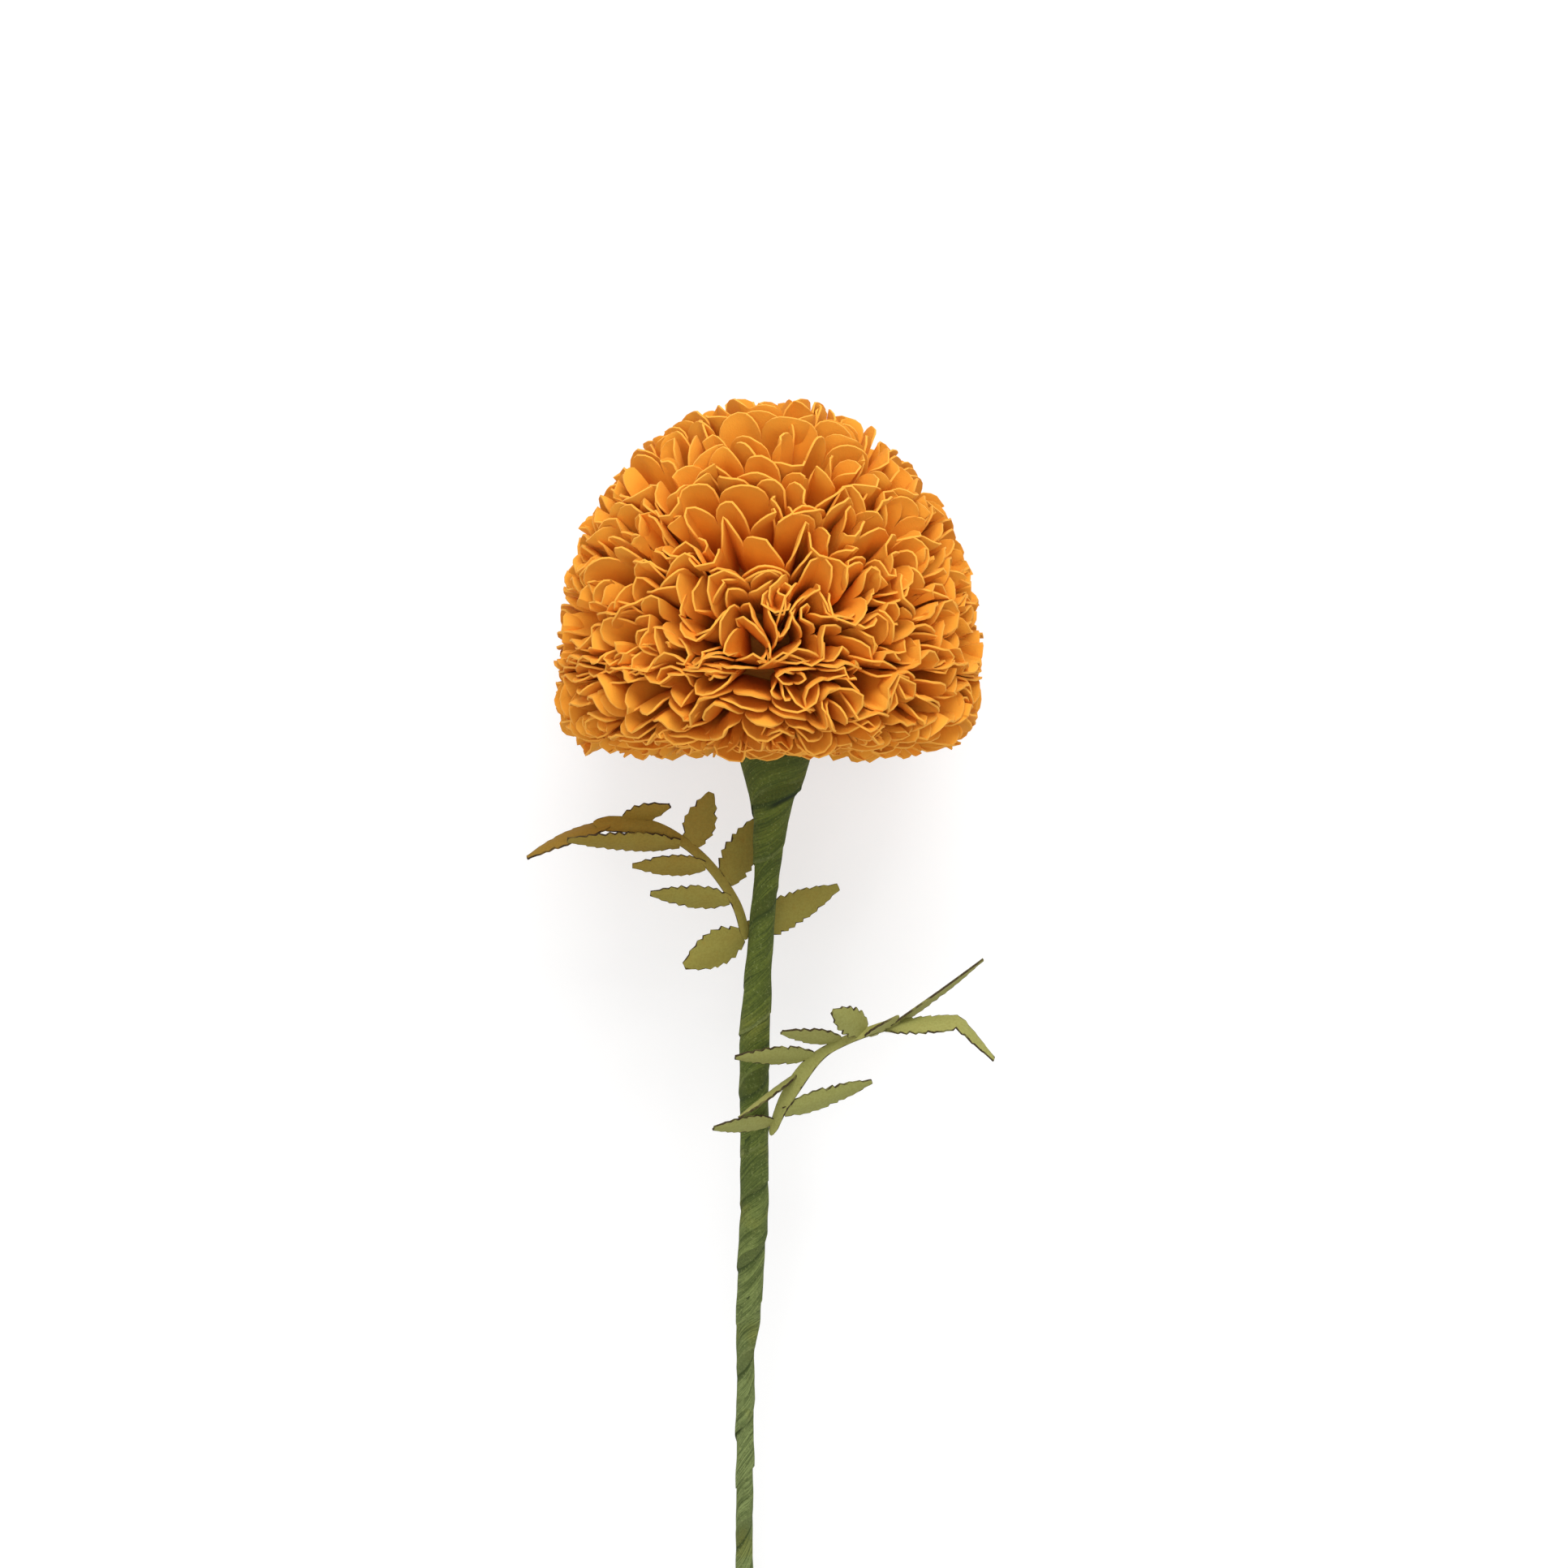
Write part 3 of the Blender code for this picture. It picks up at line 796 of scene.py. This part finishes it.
    def add_strip(self, bm: BMesh, loop: ndarray, dice: np.random.Generator) -> None:
        """Adds one strip of petals along a contour.

        Args:
            bm: The open sheets that it is added to.
            loop: The directions along the contour.
            dice: Where the random numbers come from.
        """
        even, length = self.evenly(loop)
        if length < self.least_strip * self.petal_width:
            return
        petals = max(2, round(length / self.petal_width))
        widths = dice.uniform(*self.width_spread, petals)
        bounds = np.concatenate([[0.0], np.cumsum(widths) / widths.sum()])
        inside = (1 - np.cos(np.pi * (np.arange(self.petal_columns) / self.petal_columns))) / 2
        shares = (bounds[:-1, None] + np.diff(bounds)[:, None] * inside[None, :]).ravel()
        within = np.tile(inside, petals)
        owner = np.repeat(np.arange(petals), self.petal_columns)
        count = len(even)
        at = shares * count
        low = np.floor(at).astype(int) % count
        part = (at - np.floor(at))[:, None]

        def sampled(contour: ndarray) -> ndarray:
            """A contour's directions at the columns."""
            return contour[low] * (1 - part) + contour[(low + 1) % count] * part

        def blended(values: ndarray) -> ndarray:
            """Blends a value over the petals.

            Args:
                values: Each petal's own value.

            Returns:
                A value for each column: the petal's own in its middle, and the mean of two at the
                notch between them.
            """
            other = np.where(within < 0.5, np.roll(values, 1)[owner], np.roll(values, -1)[owner])
            own = np.sin(np.pi * within) ** 2
            return values[owner] * (0.5 + 0.5 * own) + other * (0.5 - 0.5 * own)

        mix = blended(dice.uniform(0.0, 1.0, petals) ** self.softness_power)[:, None]
        sharp = sampled(self.softened(even, self.sharp_reach))
        soft = sampled(self.softened(even, self.soft_reach))
        ways = self.unit(sharp * (1 - mix) + soft * mix)
        polar = self.polar(ways)
        degrees = np.degrees(polar)
        outside = HEAD.distance(polar)
        seat = CORE.distance(polar) + self.seat_gap
        power = dice.uniform(*self.lobe_spread, petals)[owner]
        off = np.abs(2 * within - 1)
        lobe = 1 - (1 - off**power) ** (1 / self.lobe_round)
        notch = self.notch * np.clip(outside / HEAD.radius, *self.notch_share)
        tips = dice.uniform(*self.tip_spread, petals)[owner] * MM
        tips = np.where(within > 0, tips, np.minimum(tips, np.roll(tips, 1)))
        reach = outside + tips - notch * lobe
        along = np.roll(ways, -1, axis=0) - np.roll(ways, 1, axis=0)
        sideways = self.unit(np.cross(along, ways))
        downward = ways * np.cos(polar)[:, None] - np.array((0.0, 0.0, 1.0))
        if np.sum(sideways * downward) < 0.0:
            sideways = -sideways
        lean = blended(dice.uniform(*self.lean_spread, petals))
        curl = blended(dice.uniform(*self.curl_spread, petals)) + np.interp(degrees, *self.curl)
        belly = dice.uniform(*self.belly_spread, petals)
        belly *= np.where(dice.random(petals) < self.downward_chance, 1.0, -1.0)
        belly *= np.interp(degrees[:: self.petal_columns], *self.belly_share)
        crease = dice.uniform(*self.crease_spread, petals)[owner]
        creased = belly[owner] * crease * (1 - off)
        puffed = self.puff * belly[owner] * (1 - crease) * (1 - off**2)
        shade = dice.uniform(0.0, 1.0, petals)[owner]

        centre = np.array((0.0, 0.0, HEAD.drop))
        columns = len(ways)
        stack, inward = [], []
        for share in self.rows:
            distance = seat + (reach - seat) * share
            free = np.clip(distance - (outside - self.free_mm * MM), 0.0, None) / MM
            fold = creased * np.sin(np.pi / 2 * np.clip(free / self.fold_mm, 0, 1)) ** 2
            hollow = puffed * np.sin(np.pi * np.clip(free / self.puff_mm, 0, 1)) ** 2
            push = (free * lean + free**2 / self.free_mm * curl + fold + hollow) * MM
            stack.append(centre + ways * distance[:, None] + sideways * push[:, None])
            inward.append((reach - distance) / MM)
        verts = grid_of(bm, columns, len(self.rows) - 1)
        for vert, column, row in verts:
            at = column % columns
            vert.co = stack[row][at]
            # inward_mm places the paper's lighter tips, its painted cut-edge highlight and its
            # painted shade further in.
            mark(bm, vert, inward_mm=inward[row][at], petal_shade=shade[at])
        seam = [vert for vert, column, _ in verts if column in (0, columns)]
        bmesh.ops.remove_doubles(bm, verts=seam, dist=SAME_POINT)

    def build(self, material: Material) -> list[Object]:
        """Builds every round of petals.

        Args:
            material: Their paper.

        Returns:
            One piece for each round of solids.
        """
        petal_dice = np.random.default_rng(self.seed)
        contour_field = self.make_field(random.Random(self.seed))
        rounds = {
            f"{band}_{number}": angle
            for band, angles in self.bands
            for number, angle in enumerate(angles, 1)
        }
        sheets = {name: numbered_mesh("inward_mm", "petal_shade") for name in rounds}
        for level in self.levels():
            angle = np.interp(level, *self.pressed_deg)
            name = min(rounds, key=lambda item: abs(rounds[item] - angle))
            for loop in self.contours(contour_field, level):
                self.add_strip(sheets[name], loop, petal_dice)
        contour_field.free()
        pieces = []
        for name, bm in sheets.items():
            solid = thicken(bm, self.paper)
            LYING.press(solid)
            pieces.append(add_piece(f"{name}_paper", solid, material, [name]))
        return pieces


# The stem


@dataclass
class StemWrap:
    """The crepe paper that is wound round the stem, each turn lapped over the one above it.

    The route gives the distance below the head, the place to the right and the radius, in
    millimetres. A wave of the edge or the lap has a count for each turn and a start, and one of the
    crinkles has radians for each turn and across the strip.
    """

    route: tuple[tuple[float, float, float], ...] = (
        *((-7.0, 1.3, 4.2), (0.0, 1.3, 7.6), (4.0, 1.2, 6.4), (9.0, 0.8, 4.5)),
        *((14.0, 0.4, 3.4), (26.0, -0.5, 2.4), (40.0, -1.8, 2.6), (60.0, -3.0, 3.0)),
        *((94.0, -3.0, 2.8), (119.0, -4.4, 2.5), (126.0, -4.9, 1.75), (231.0, -5.8, 1.65)),
    )
    top: float = -7.2 * MM
    length: float = 231.0 * MM
    bend: float = 46.0 * MM
    pitch: float = 12.0 * MM
    spare_turns: int = 2
    sides: int = 48
    across: tuple[float, ...] = (
        *(0.0, 0.06, 0.13, 0.2, 0.28, 0.36, 0.44, 0.52),
        *(0.6, 0.68, 0.76, 0.84, 0.9, 0.95, 1.0),
    )
    mean_radius: float = 3.0 * MM
    slant: float = 0.14
    pattern_shift: float = 0.37
    lap: float = 0.3 * MM
    lap_power: float = 1.3
    lap_weight: Span = (0.75, 0.45)
    lap_wave: Span = (0.29, 2.0)
    edge_wander: float = 1.9 * MM
    edge_waves: tuple[tuple[float, float, float], ...] = ((0.37, 1.0, 1.0), (1.61, 0.0, 0.4))
    crinkle: float = 0.05 * MM
    crinkle_waves: Table = ((37.0, 6.0), (23.0, -9.0))
    tuck_start: float = 10.4 * MM
    tuck_slope: float = 0.55
    tuck_height: float = 1.0 * MM
    tuck_mm: Span = (3.2, 0.5)
    tuck_front: Span = (0.4, 2.0)
    tuck_right: Span = (1.8, 2.4)
    seed: int = 3

    def place(self, down: float) -> tuple[Vector, float]:
        """Middle and radius of the stem.

        Args:
            down: The distance below the head.

        Returns:
            The middle and the radius.
        """
        downs, rights, radii = ([number * MM for number in numbers] for numbers in zip(*self.route))
        right, radius = (float(np.interp(down, downs, numbers)) for numbers in (rights, radii))
        return Vector((right, self.sag(down), -down)), radius

    def sag(self, down: float) -> float:
        """Works out how far the stem has bent towards the table.

        Args:
            down: The distance below the head.

        Returns:
            The distance that it lies lower there.
        """
        end_height = self.route[-1][2] * MM + self.lap
        slope = (LYING.axis_height - end_height) / (self.length - self.bend / 2)
        bent = min(max(down, 0.0), self.bend)
        return slope * (bent**2 / (2 * self.bend) + max(down - self.bend, 0.0))

    def off_tuck(self, down: float, azimuth: float, radius: float) -> tuple[float, float]:
        """Finds a point's place by the fold where the strip is tucked under, below the head.

        Args:
            down: The distance below the head.
            azimuth: The angle round the stem.
            radius: The stem's radius there.

        Returns:
            The millimetres below the fold, and the fold's share, which is 0 past its end.
        """
        right = radius * math.cos(azimuth)
        level, steepness = self.tuck_front
        front = min(1.0, max(0.0, level - steepness * math.sin(azimuth)))
        start, width = self.tuck_right
        end = min(1.0, max(0.0, (right / MM + start) / width))
        return (down - self.tuck_start + self.tuck_slope * right) / MM, front * end

    def build(self, material: Material) -> Object:
        """Builds the wound strip.

        Args:
            material: Its paper.

        Returns:
            The piece.
        """
        turns = math.ceil((self.length - self.top) / self.pitch) + self.spare_turns + 1
        steps = len(self.across)
        bm = numbered_mesh("strip_share", "down_mm", "tuck_mm", "tuck_share")
        strip = bm.loops.layers.uv.new("strip")
        verts = grid_of(bm, self.sides, turns * steps - 1)
        numbers = {vert: (column, row) for vert, column, row in verts}
        for face in bm.faces:
            for loop in face.loops:
                column, row = numbers[loop.vert]
                turn, step = divmod(row, steps)
                along = (turn + column / self.sides) * 2 * math.pi * self.mean_radius
                shift = turn * self.pattern_shift - self.slant * along
                loop[strip].uv = (along, self.across[step] * self.pitch + shift)
        starts = np.random.default_rng(self.seed).uniform(0, 2 * math.pi, 2)
        lap_count, lap_start = self.lap_wave
        weight, swing = self.lap_weight
        above, below = self.tuck_mm
        for vert, column, row in verts:
            turn, step = divmod(row, steps)
            share = self.across[step]
            run = turn + column / self.sides
            azimuth = -2 * math.pi * column / self.sides
            edge = sum(
                size * math.sin(run * 2 * math.pi * count + start)
                for count, start, size in self.edge_waves
            )
            down = self.top + (run + share - self.spare_turns) * self.pitch
            down += edge * self.edge_wander
            middle, radius = self.place(down)
            crinkle = sum(
                self.crinkle * math.sin(run * around + share * over + start)
                for (around, over), start in zip(self.crinkle_waves, starts)
            )
            heavy = weight + swing * math.sin(run * 2 * math.pi * lap_count + lap_start)
            off, fold = self.off_tuck(down, azimuth, radius)
            rise = max(0.0, 1.0 + off / above if off < 0.0 else 1.0 - off / below)
            stand = self.lap * heavy * share**self.lap_power + crinkle
            stand += self.tuck_height * rise * fold
            outward = Vector((math.cos(azimuth), math.sin(azimuth), 0.0))
            vert.co = middle + outward * (radius + stand)
            # strip_share, tuck_mm and tuck_share also place the crepe paper's painted shade under
            # the laps and in the tuck fold.
            mark(bm, vert, strip_share=share, down_mm=down / MM, tuck_mm=off, tuck_share=fold)
        bmesh.ops.remove_doubles(bm, verts=list(bm.verts), dist=SAME_POINT)
        for height, up in ((-self.top, 1.0), (-self.length, -1.0)):
            bmesh.ops.bisect_plane(
                bm,
                geom=list(bm.verts) + list(bm.edges) + list(bm.faces),
                dist=CUT_GAP,
                plane_co=(0.0, 0.0, height),
                plane_no=(0.0, 0.0, up),
                clear_outer=True,
            )
        bmesh.ops.holes_fill(bm, edges=[edge for edge in bm.edges if edge.is_boundary])
        bmesh.ops.recalc_face_normals(bm, faces=list(bm.faces))
        LYING.press(bm)
        return add_piece("stem_crepe", bm, material, ["stem_wrap"])


# The leaves


@dataclass(frozen=True)
class Leaflet:
    """One blade of a leaf, with its lengths in millimetres.

    Its station is a share of the rachis, its side 1, -1 or 0 for the end. It reaches right, near
    and down, turns about that in degrees, and curls and bows out of it.
    """

    station: float
    side: int
    reach: tuple[float, float, float]
    width: float
    turn: float
    curl: float
    bow: tuple[float, float, float] = (0.0, 0.0, 0.0)


@dataclass
class LeafSprig:
    """One leaf, cut from a sheet of card: a rachis and toothed leaflets, folded at their midribs.

    The route gives places of the rachis in millimetres: right, near and down.
    """

    name: str
    slot: str
    route: tuple[tuple[float, float, float], ...]
    tilt: float
    swell: float
    leaflets: tuple[Leaflet, ...]
    warmth: Span
    stem: StemWrap = field(default_factory=StemWrap)
    card: float = 0.45 * MM
    rachis_rows: int = 40
    rachis_columns: int = 4
    rachis_width: float = 2.0 * MM
    rachis_swell: float = 1.5 * MM
    rachis_arch: float = 0.12 * MM
    swell_reach: float = 0.32
    end_taper: float = 0.08
    end_floor: float = 0.03
    near_share: float = 0.01
    base_share: float = 0.7
    end_share: float = 0.95
    end_lap: float = 3.4 * MM
    bend: float = 0.68
    least_teeth: int = 4
    tooth: float = 1.9 * MM
    tooth_depth: float = 0.17
    notch_spread: Span = (0.55, 0.85)
    bite_spread: Span = (0.35, 1.5)
    warmth_spread: Span = (-0.12, 0.12)
    blade_start: float = 0.04
    blade_end: float = 0.958
    blade_widest: float = 0.72
    blade_round: float = 0.62
    least_half: float = 0.3 * MM
    burn: float = 0.3 * MM
    fold: float = 0.18
    across: tuple[float, ...] = (-1.0, -0.8, -0.4, 0.0, 0.4, 0.8, 1.0)

    def point(self, share: float) -> Vector:
        """Follows the smooth curve through the route's places.

        Args:
            share: The share of its length.

        Returns:
            The point.
        """
        spans = len(self.route) - 1
        span = min(int(share * spans), spans - 1)
        local = share * spans - span
        before, start, end, after = (
            Vector(self.route[min(max(span + step, 0), spans)]) * MM for step in (-1, 0, 1, 2)
        )
        right, near, down = 0.5 * (
            2 * start
            + (end - before) * local
            + (2 * before - 5 * start + 4 * end - after) * local**2
            + (3 * start - before - 3 * end + after) * local**3
        )
        return Vector((right, self.stem.sag(self.route[0][2] * MM) - near, -down))

    def frame(self, share: float) -> tuple[Vector, Vector, Vector]:
        """Direction, sideways direction and face of the rachis.

        Args:
            share: The share of its length.

        Returns:
            The three directions.
        """
        ahead = self.point(min(1.0, share + self.near_share))
        ahead = (ahead - self.point(max(0.0, share - self.near_share))).normalized()
        sideways = ahead.cross(Vector((0.0, -1.0, 0.0))).normalized()
        sideways = Matrix.Rotation(math.radians(self.tilt), 3, ahead) @ sideways
        return ahead, sideways, sideways.cross(ahead)

    def rachis_half(self, share: float) -> float:
        """Half width of the rachis, which swells to both sides of its widest place.

        Args:
            share: The share of its length.

        Returns:
            The half width.
        """
        away = min(1.0, abs(share - self.swell) / self.swell_reach)
        ends = min(1.0, self.end_floor + min(share, 1.0 - share) / self.end_taper)
        full = self.rachis_width / 2 + self.rachis_swell / 2 * math.cos(math.pi / 2 * away) ** 2
        return full * math.sqrt(ends)

    def warm_at(self, share: float) -> float:
        """Warmth of the card at a share of the rachis."""
        return self.warmth[0] + (self.warmth[1] - self.warmth[0]) * share

    def add_rachis(self, bm: BMesh) -> None:
        """Adds the rachis as a ribbon, arched across.

        Args:
            bm: The open sheets that it is added to.
        """
        for vert, column, row in grid_of(bm, self.rachis_columns, self.rachis_rows):
            share = row / self.rachis_rows
            _, sideways, face = self.frame(share)
            width = self.rachis_half(share)
            off = 2 * column / self.rachis_columns - 1
            arch = face * self.rachis_arch * (1 - off * off)
            vert.co = self.point(share) + sideways * width * off + arch
            edge = width * (1 - abs(off)) / MM
            mark(bm, vert, edge_mm=edge, warmth=self.warm_at(share))

    def half_width(self, share: float, width: float) -> float:
        """Half width of a leaflet of some width at a share of its length, without its teeth."""
        at = min(self.blade_end, max(share, self.blade_start))
        return width / 2 * math.sin(math.pi * at**self.blade_widest) ** self.blade_round

    def add_leaflet(self, bm: BMesh, leaflet: Leaflet, dice: random.Random) -> None:
        """Adds one toothed blade, creased along its midrib.

        Args:
            bm: The open sheets that it is added to.
            leaflet: The blade.
            dice: Where the random numbers come from.
        """
        onward, rachis_side, _ = self.frame(leaflet.station)
        edge = leaflet.side * self.rachis_half(leaflet.station) * self.base_share
        base = self.point(leaflet.station) + rachis_side * edge
        reach, bow = (
            Vector((right, -near, -down)) * MM for right, near, down in (leaflet.reach, leaflet.bow)
        )
        if leaflet.side == 0:
            lap = (self.point(1.0) - self.point(self.end_share)).normalized() * self.end_lap
            base -= lap
            reach += lap
        ahead = reach.normalized()
        across = ahead.cross(Vector((0.0, -1.0, 0.0))).normalized()
        wanted = onward * -leaflet.side if leaflet.side else rachis_side
        if across.dot(wanted) < 0:
            across.negate()
        across = Matrix.Rotation(math.radians(leaflet.turn), 3, ahead) @ across
        face = ahead.cross(across)
        length = reach.length
        teeth = max(self.least_teeth, round(length / self.tooth))
        shares, notched = [0.0], [True]
        for tooth in range(teeth):
            start, end = tooth / teeth, (tooth + 1) / teeth
            shares += [start + dice.uniform(*self.notch_spread) * (end - start), end]
            notched += [False, True]
        jitter = [dice.uniform(*self.bite_spread) for _ in shares]
        warm = self.warm_at(leaflet.station) + dice.uniform(*self.warmth_spread)
        for vert, column, row in grid_of(bm, len(self.across) - 1, len(shares) - 1):
            share = shares[row]
            off = self.across[column]
            bite = notched[row] * self.tooth_depth * jitter[row]
            full = self.half_width(share, leaflet.width * MM) * (1.0 - bite)
            full = max(self.least_half, full)
            bent = min(share / self.bend, (1.0 - share) / (1.0 - self.bend))
            sag = face * (leaflet.curl * MM * share**2) + bow * bent
            crease = face * (abs(off) * full * self.fold)
            vert.co = base + reach * share + sag + across * (off * full) + crease
            edge = min(full * (1 - abs(off)), (1.0 - share) * length)
            if abs(off) == 1.0 and notched[row]:
                edge = -self.burn * jitter[row]
            mark(bm, vert, edge_mm=edge / MM, warmth=warm)

    def build(self, material: Material) -> Object:
        """Builds the leaf.

        Args:
            material: Its card.

        Returns:
            The piece.
        """
        dice = random.Random(self.name)
        bm = numbered_mesh("edge_mm", "warmth")
        self.add_rachis(bm)
        for leaflet in self.leaflets:
            self.add_leaflet(bm, leaflet, dice)
        bmesh.ops.recalc_face_normals(bm, faces=list(bm.faces))
        solid = thicken(bm, self.card)
        return add_piece(f"{self.name}_card", solid, material, [self.name])


UPPER_SPRIG = LeafSprig(
    name="upper_leaf",
    slot="olive_leaf",
    route=(
        *((-4.7, -2.1, 38.4), (-7.0, -0.4, 30.6), (-13.8, 2.0, 21.4)),
        *((-23.0, 3.2, 15.6), (-36.0, 3.0, 14.4)),
    ),
    tilt=25.0,
    swell=0.88,
    leaflets=(
        Leaflet(0.05, 1, (17.6, -9.0, -9.5), 7.6, 12.0, -3.0),
        Leaflet(0.05, -1, (-11.6, 4.0, 6.4), 8.2, -18.0, 0.8),
        Leaflet(0.35, 1, (7.3, -4.5, -13.3), 8.0, 20.0, 0.6),
        Leaflet(0.27, -1, (-16.4, 2.0, -1.0), 5.6, -30.0, 0.8),
        Leaflet(0.57, 1, (4.0, -1.5, -10.8), 7.0, 10.0, 0.5),
        Leaflet(0.46, -1, (-15.0, 1.0, 0.4), 5.2, -32.0, 0.8),
        Leaflet(0.62, -1, (-23.0, 3.5, -0.6), 5.4, -42.0, 0.4),
        Leaflet(0.87, 1, (9.5, 3.5, -2.4), 4.8, 36.0, 0.6),
        Leaflet(1.00, 0, (-14.3, 0.5, 3.4), 5.2, 58.0, 4.4),
    ),
    warmth=(0.15, 0.95),
)

LOWER_SPRIG = LeafSprig(
    name="lower_leaf",
    slot="pale_leaf",
    route=(
        *((0.5, 2.8, 79.0), (3.6, 6.0, 71.4), (9.2, 8.4, 63.4)),
        *((16.0, 10.2, 59.0), (27.0, 11.0, 55.0)),
    ),
    tilt=-30.0,
    swell=0.36,
    leaflets=(
        Leaflet(0.09, -1, (-12.0, 9.5, 0.4), 4.8, -44.0, 0.0),
        Leaflet(0.18, 1, (18.4, -1.0, -6.0), 5.4, 38.0, 0.6),
        Leaflet(0.38, -1, (-11.8, 4.3, 8.2), 3.6, 75.0, 0.4),
        Leaflet(0.52, -1, (-16.0, 4.0, 0.6), 5.2, -42.0, 0.6),
        Leaflet(0.71, -1, (-11.6, 7.0, -1.4), 5.2, -50.0, 0.8),
        Leaflet(0.84, -1, (-6.6, 8.5, -4.0), 6.4, 5.0, 0.4),
        Leaflet(0.84, 1, (6.0, 5.0, -4.6), 4.6, 64.0, 0.4),
        Leaflet(0.91, 1, (20.8, -4.0, -13.6), 5.0, 74.0, -0.8),
        Leaflet(1.00, 0, (19.3, 1.0, 7.5), 5.4, -48.0, 0.4, bow=(0.0, 1.0, -5.6)),
    ),
    warmth=(0.2, 0.45),
)


# Wires and core, which keep their solids


class Kept(Enum):
    """Solids whose shape is right, so that they only get a finish."""

    STEM_WIRE = "stem_wire"
    UPPER_WIRE = "upper_leaf_wire"
    LOWER_WIRE = "lower_leaf_wire"
    CORE = "head_core"


def dress(kept: Kept, material: Material) -> Object:
    """Gives a solid its finish.

    Args:
        kept: The solid.
        material: Its finish.

    Returns:
        The solid's object.
    """
    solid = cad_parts[kept.value]
    solid.data.materials.clear()
    solid.data.materials.append(material)
    return solid


# Table, lamps and camera


@dataclass
class Studio:
    """A white table in soft light, seen from straight above."""

    head: Vector
    pixels_per_metre: float = 6000.0
    frame_pixels: int = 1932
    lens: float = 100.0
    sensor: float = 36.0
    head_pixel: Span = (947.0, 805.0)
    sky: float = 0.53
    table_glow: float = 0.56
    table_half: float = 1.5
    table_gap: float = 0.2 * MM
    lamps: tuple[tuple[str, tuple[float, ...], float, float], ...] = (
        ("key_lamp", (0.12, 0.85, 0.75), 0.8, 10.2),
        ("fill_lamp", (-0.12, -0.2, 1.0), 0.7, 2.8),
    )

    def table(self) -> None:
        """Builds the table, which the camera sees as white with the flower's soft shadow."""
        bm = bmesh.new()
        bmesh.ops.create_grid(bm, x_segments=1, y_segments=1, size=self.table_half)
        mesh = mesh_from("table", bm)
        graph = Graph.named("white_table")
        seen = graph.seen()
        grain = graph.noise(graph.place(), 900.0, 2.0)
        white = graph.blend(grain * 0.02, (0.93, 0.93, 0.93), (0.90, 0.90, 0.90))
        mesh.materials.append(
            graph.finish(
                Base_Color=graph.blend(seen, white, (0.50, 0.50, 0.50)),
                Roughness=0.9,
                Specular_IOR_Level=0.1,
                Emission_Color=graph.blend(seen, (0.0, 0.0, 0.0), (1.0, 1.0, 1.0)),
                Emission_Strength=self.table_glow,
            )
        )
        thing = put("table", mesh)
        thing.location = (0.0, 0.0, -self.table_gap)

    def lamp(self, name: str, place: Sequence[float], size: float, watts: float) -> None:
        """Adds one soft square lamp that faces the flower's head.

        Args:
            name: Its name.
            place: Where it hangs, from the head.
            size: Its width.
            watts: Its power.
        """
        light = bpy.data.lights.new(name, "AREA")
        light.shape = "SQUARE"
        light.size = size
        light.energy = watts
        thing = put(name, light)
        thing.location = self.head + Vector(place)
        aim = (self.head - thing.location).to_track_quat("-Z", "Y")
        thing.rotation_euler = aim.to_euler()

    def world(self) -> None:
        """Lights the scene evenly from all round, and shows white where nothing else is."""
        world = bpy.data.worlds.new("studio")
        graph = Graph(world)
        white = (1.0, 1.0, 1.0)
        sky = graph.node("ShaderNodeBackground", {}, {"Color": white, "Strength": self.sky})
        backdrop = graph.node("ShaderNodeBackground", {}, {"Color": white, "Strength": 1.0})
        mixed = graph.node("ShaderNodeMixShader", {}, {0: graph.seen(), 1: sky, 2: backdrop})
        graph.close("ShaderNodeOutputWorld", mixed)
        bpy.context.scene.world = world

    def camera(self) -> None:
        """Sets up the camera straight above, where the photograph was taken from."""
        data = bpy.data.cameras.new("camera")
        data.lens = self.lens
        data.sensor_width = self.sensor
        half = self.frame_pixels / 2
        right = (half - self.head_pixel[0]) / self.pixels_per_metre
        up = (self.head_pixel[1] - half) / self.pixels_per_metre
        distance = self.frame_pixels / self.pixels_per_metre * self.lens / self.sensor
        thing = put("camera", data)
        thing.location = self.head + Vector((right, up, distance))
        bpy.context.scene.camera = thing

    def build(self) -> None:
        """Sets up the table, the lamps, the world and the camera."""
        self.table()
        for name, place, size, watts in self.lamps:
            self.lamp(name, place, size, watts)
        self.world()
        self.camera()
        bpy.context.scene.view_settings.view_transform = "Standard"


def main() -> None:
    """Builds the pieces in order, and reports each."""
    logging.basicConfig(level=logging.INFO, format="%(name)s: %(message)s")
    pieces = PetalHead().build(PetalPaper().make())
    pieces.append(StemWrap().build(CrepePaper().make()))
    olive = LeafCard("olive_card_finish", (0.31, 0.29, 0.062), (0.29, 0.165, 0.016))
    pale = LeafCard("pale_card_finish", (0.335, 0.345, 0.100), (0.32, 0.295, 0.082))
    pieces.append(UPPER_SPRIG.build(olive.make()))
    pieces.append(LOWER_SPRIG.build(pale.make()))
    wire = FloristWire().make()
    pieces += [dress(kept, wire) for kept in Kept if kept is not Kept.CORE]
    pieces.append(dress(Kept.CORE, CorePaper().make()))
    for piece in pieces:
        LOG.info("%s: %d faces", piece.name, len(piece.data.polygons))
    studio = Studio(LYING.matrix() @ Vector((0.0, 0.0, HEAD.drop)))
    studio.build()
    LOG.info("studio: table, %d lamps, world and camera", len(studio.lamps))


if __name__ == "__main__":
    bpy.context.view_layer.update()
    main()
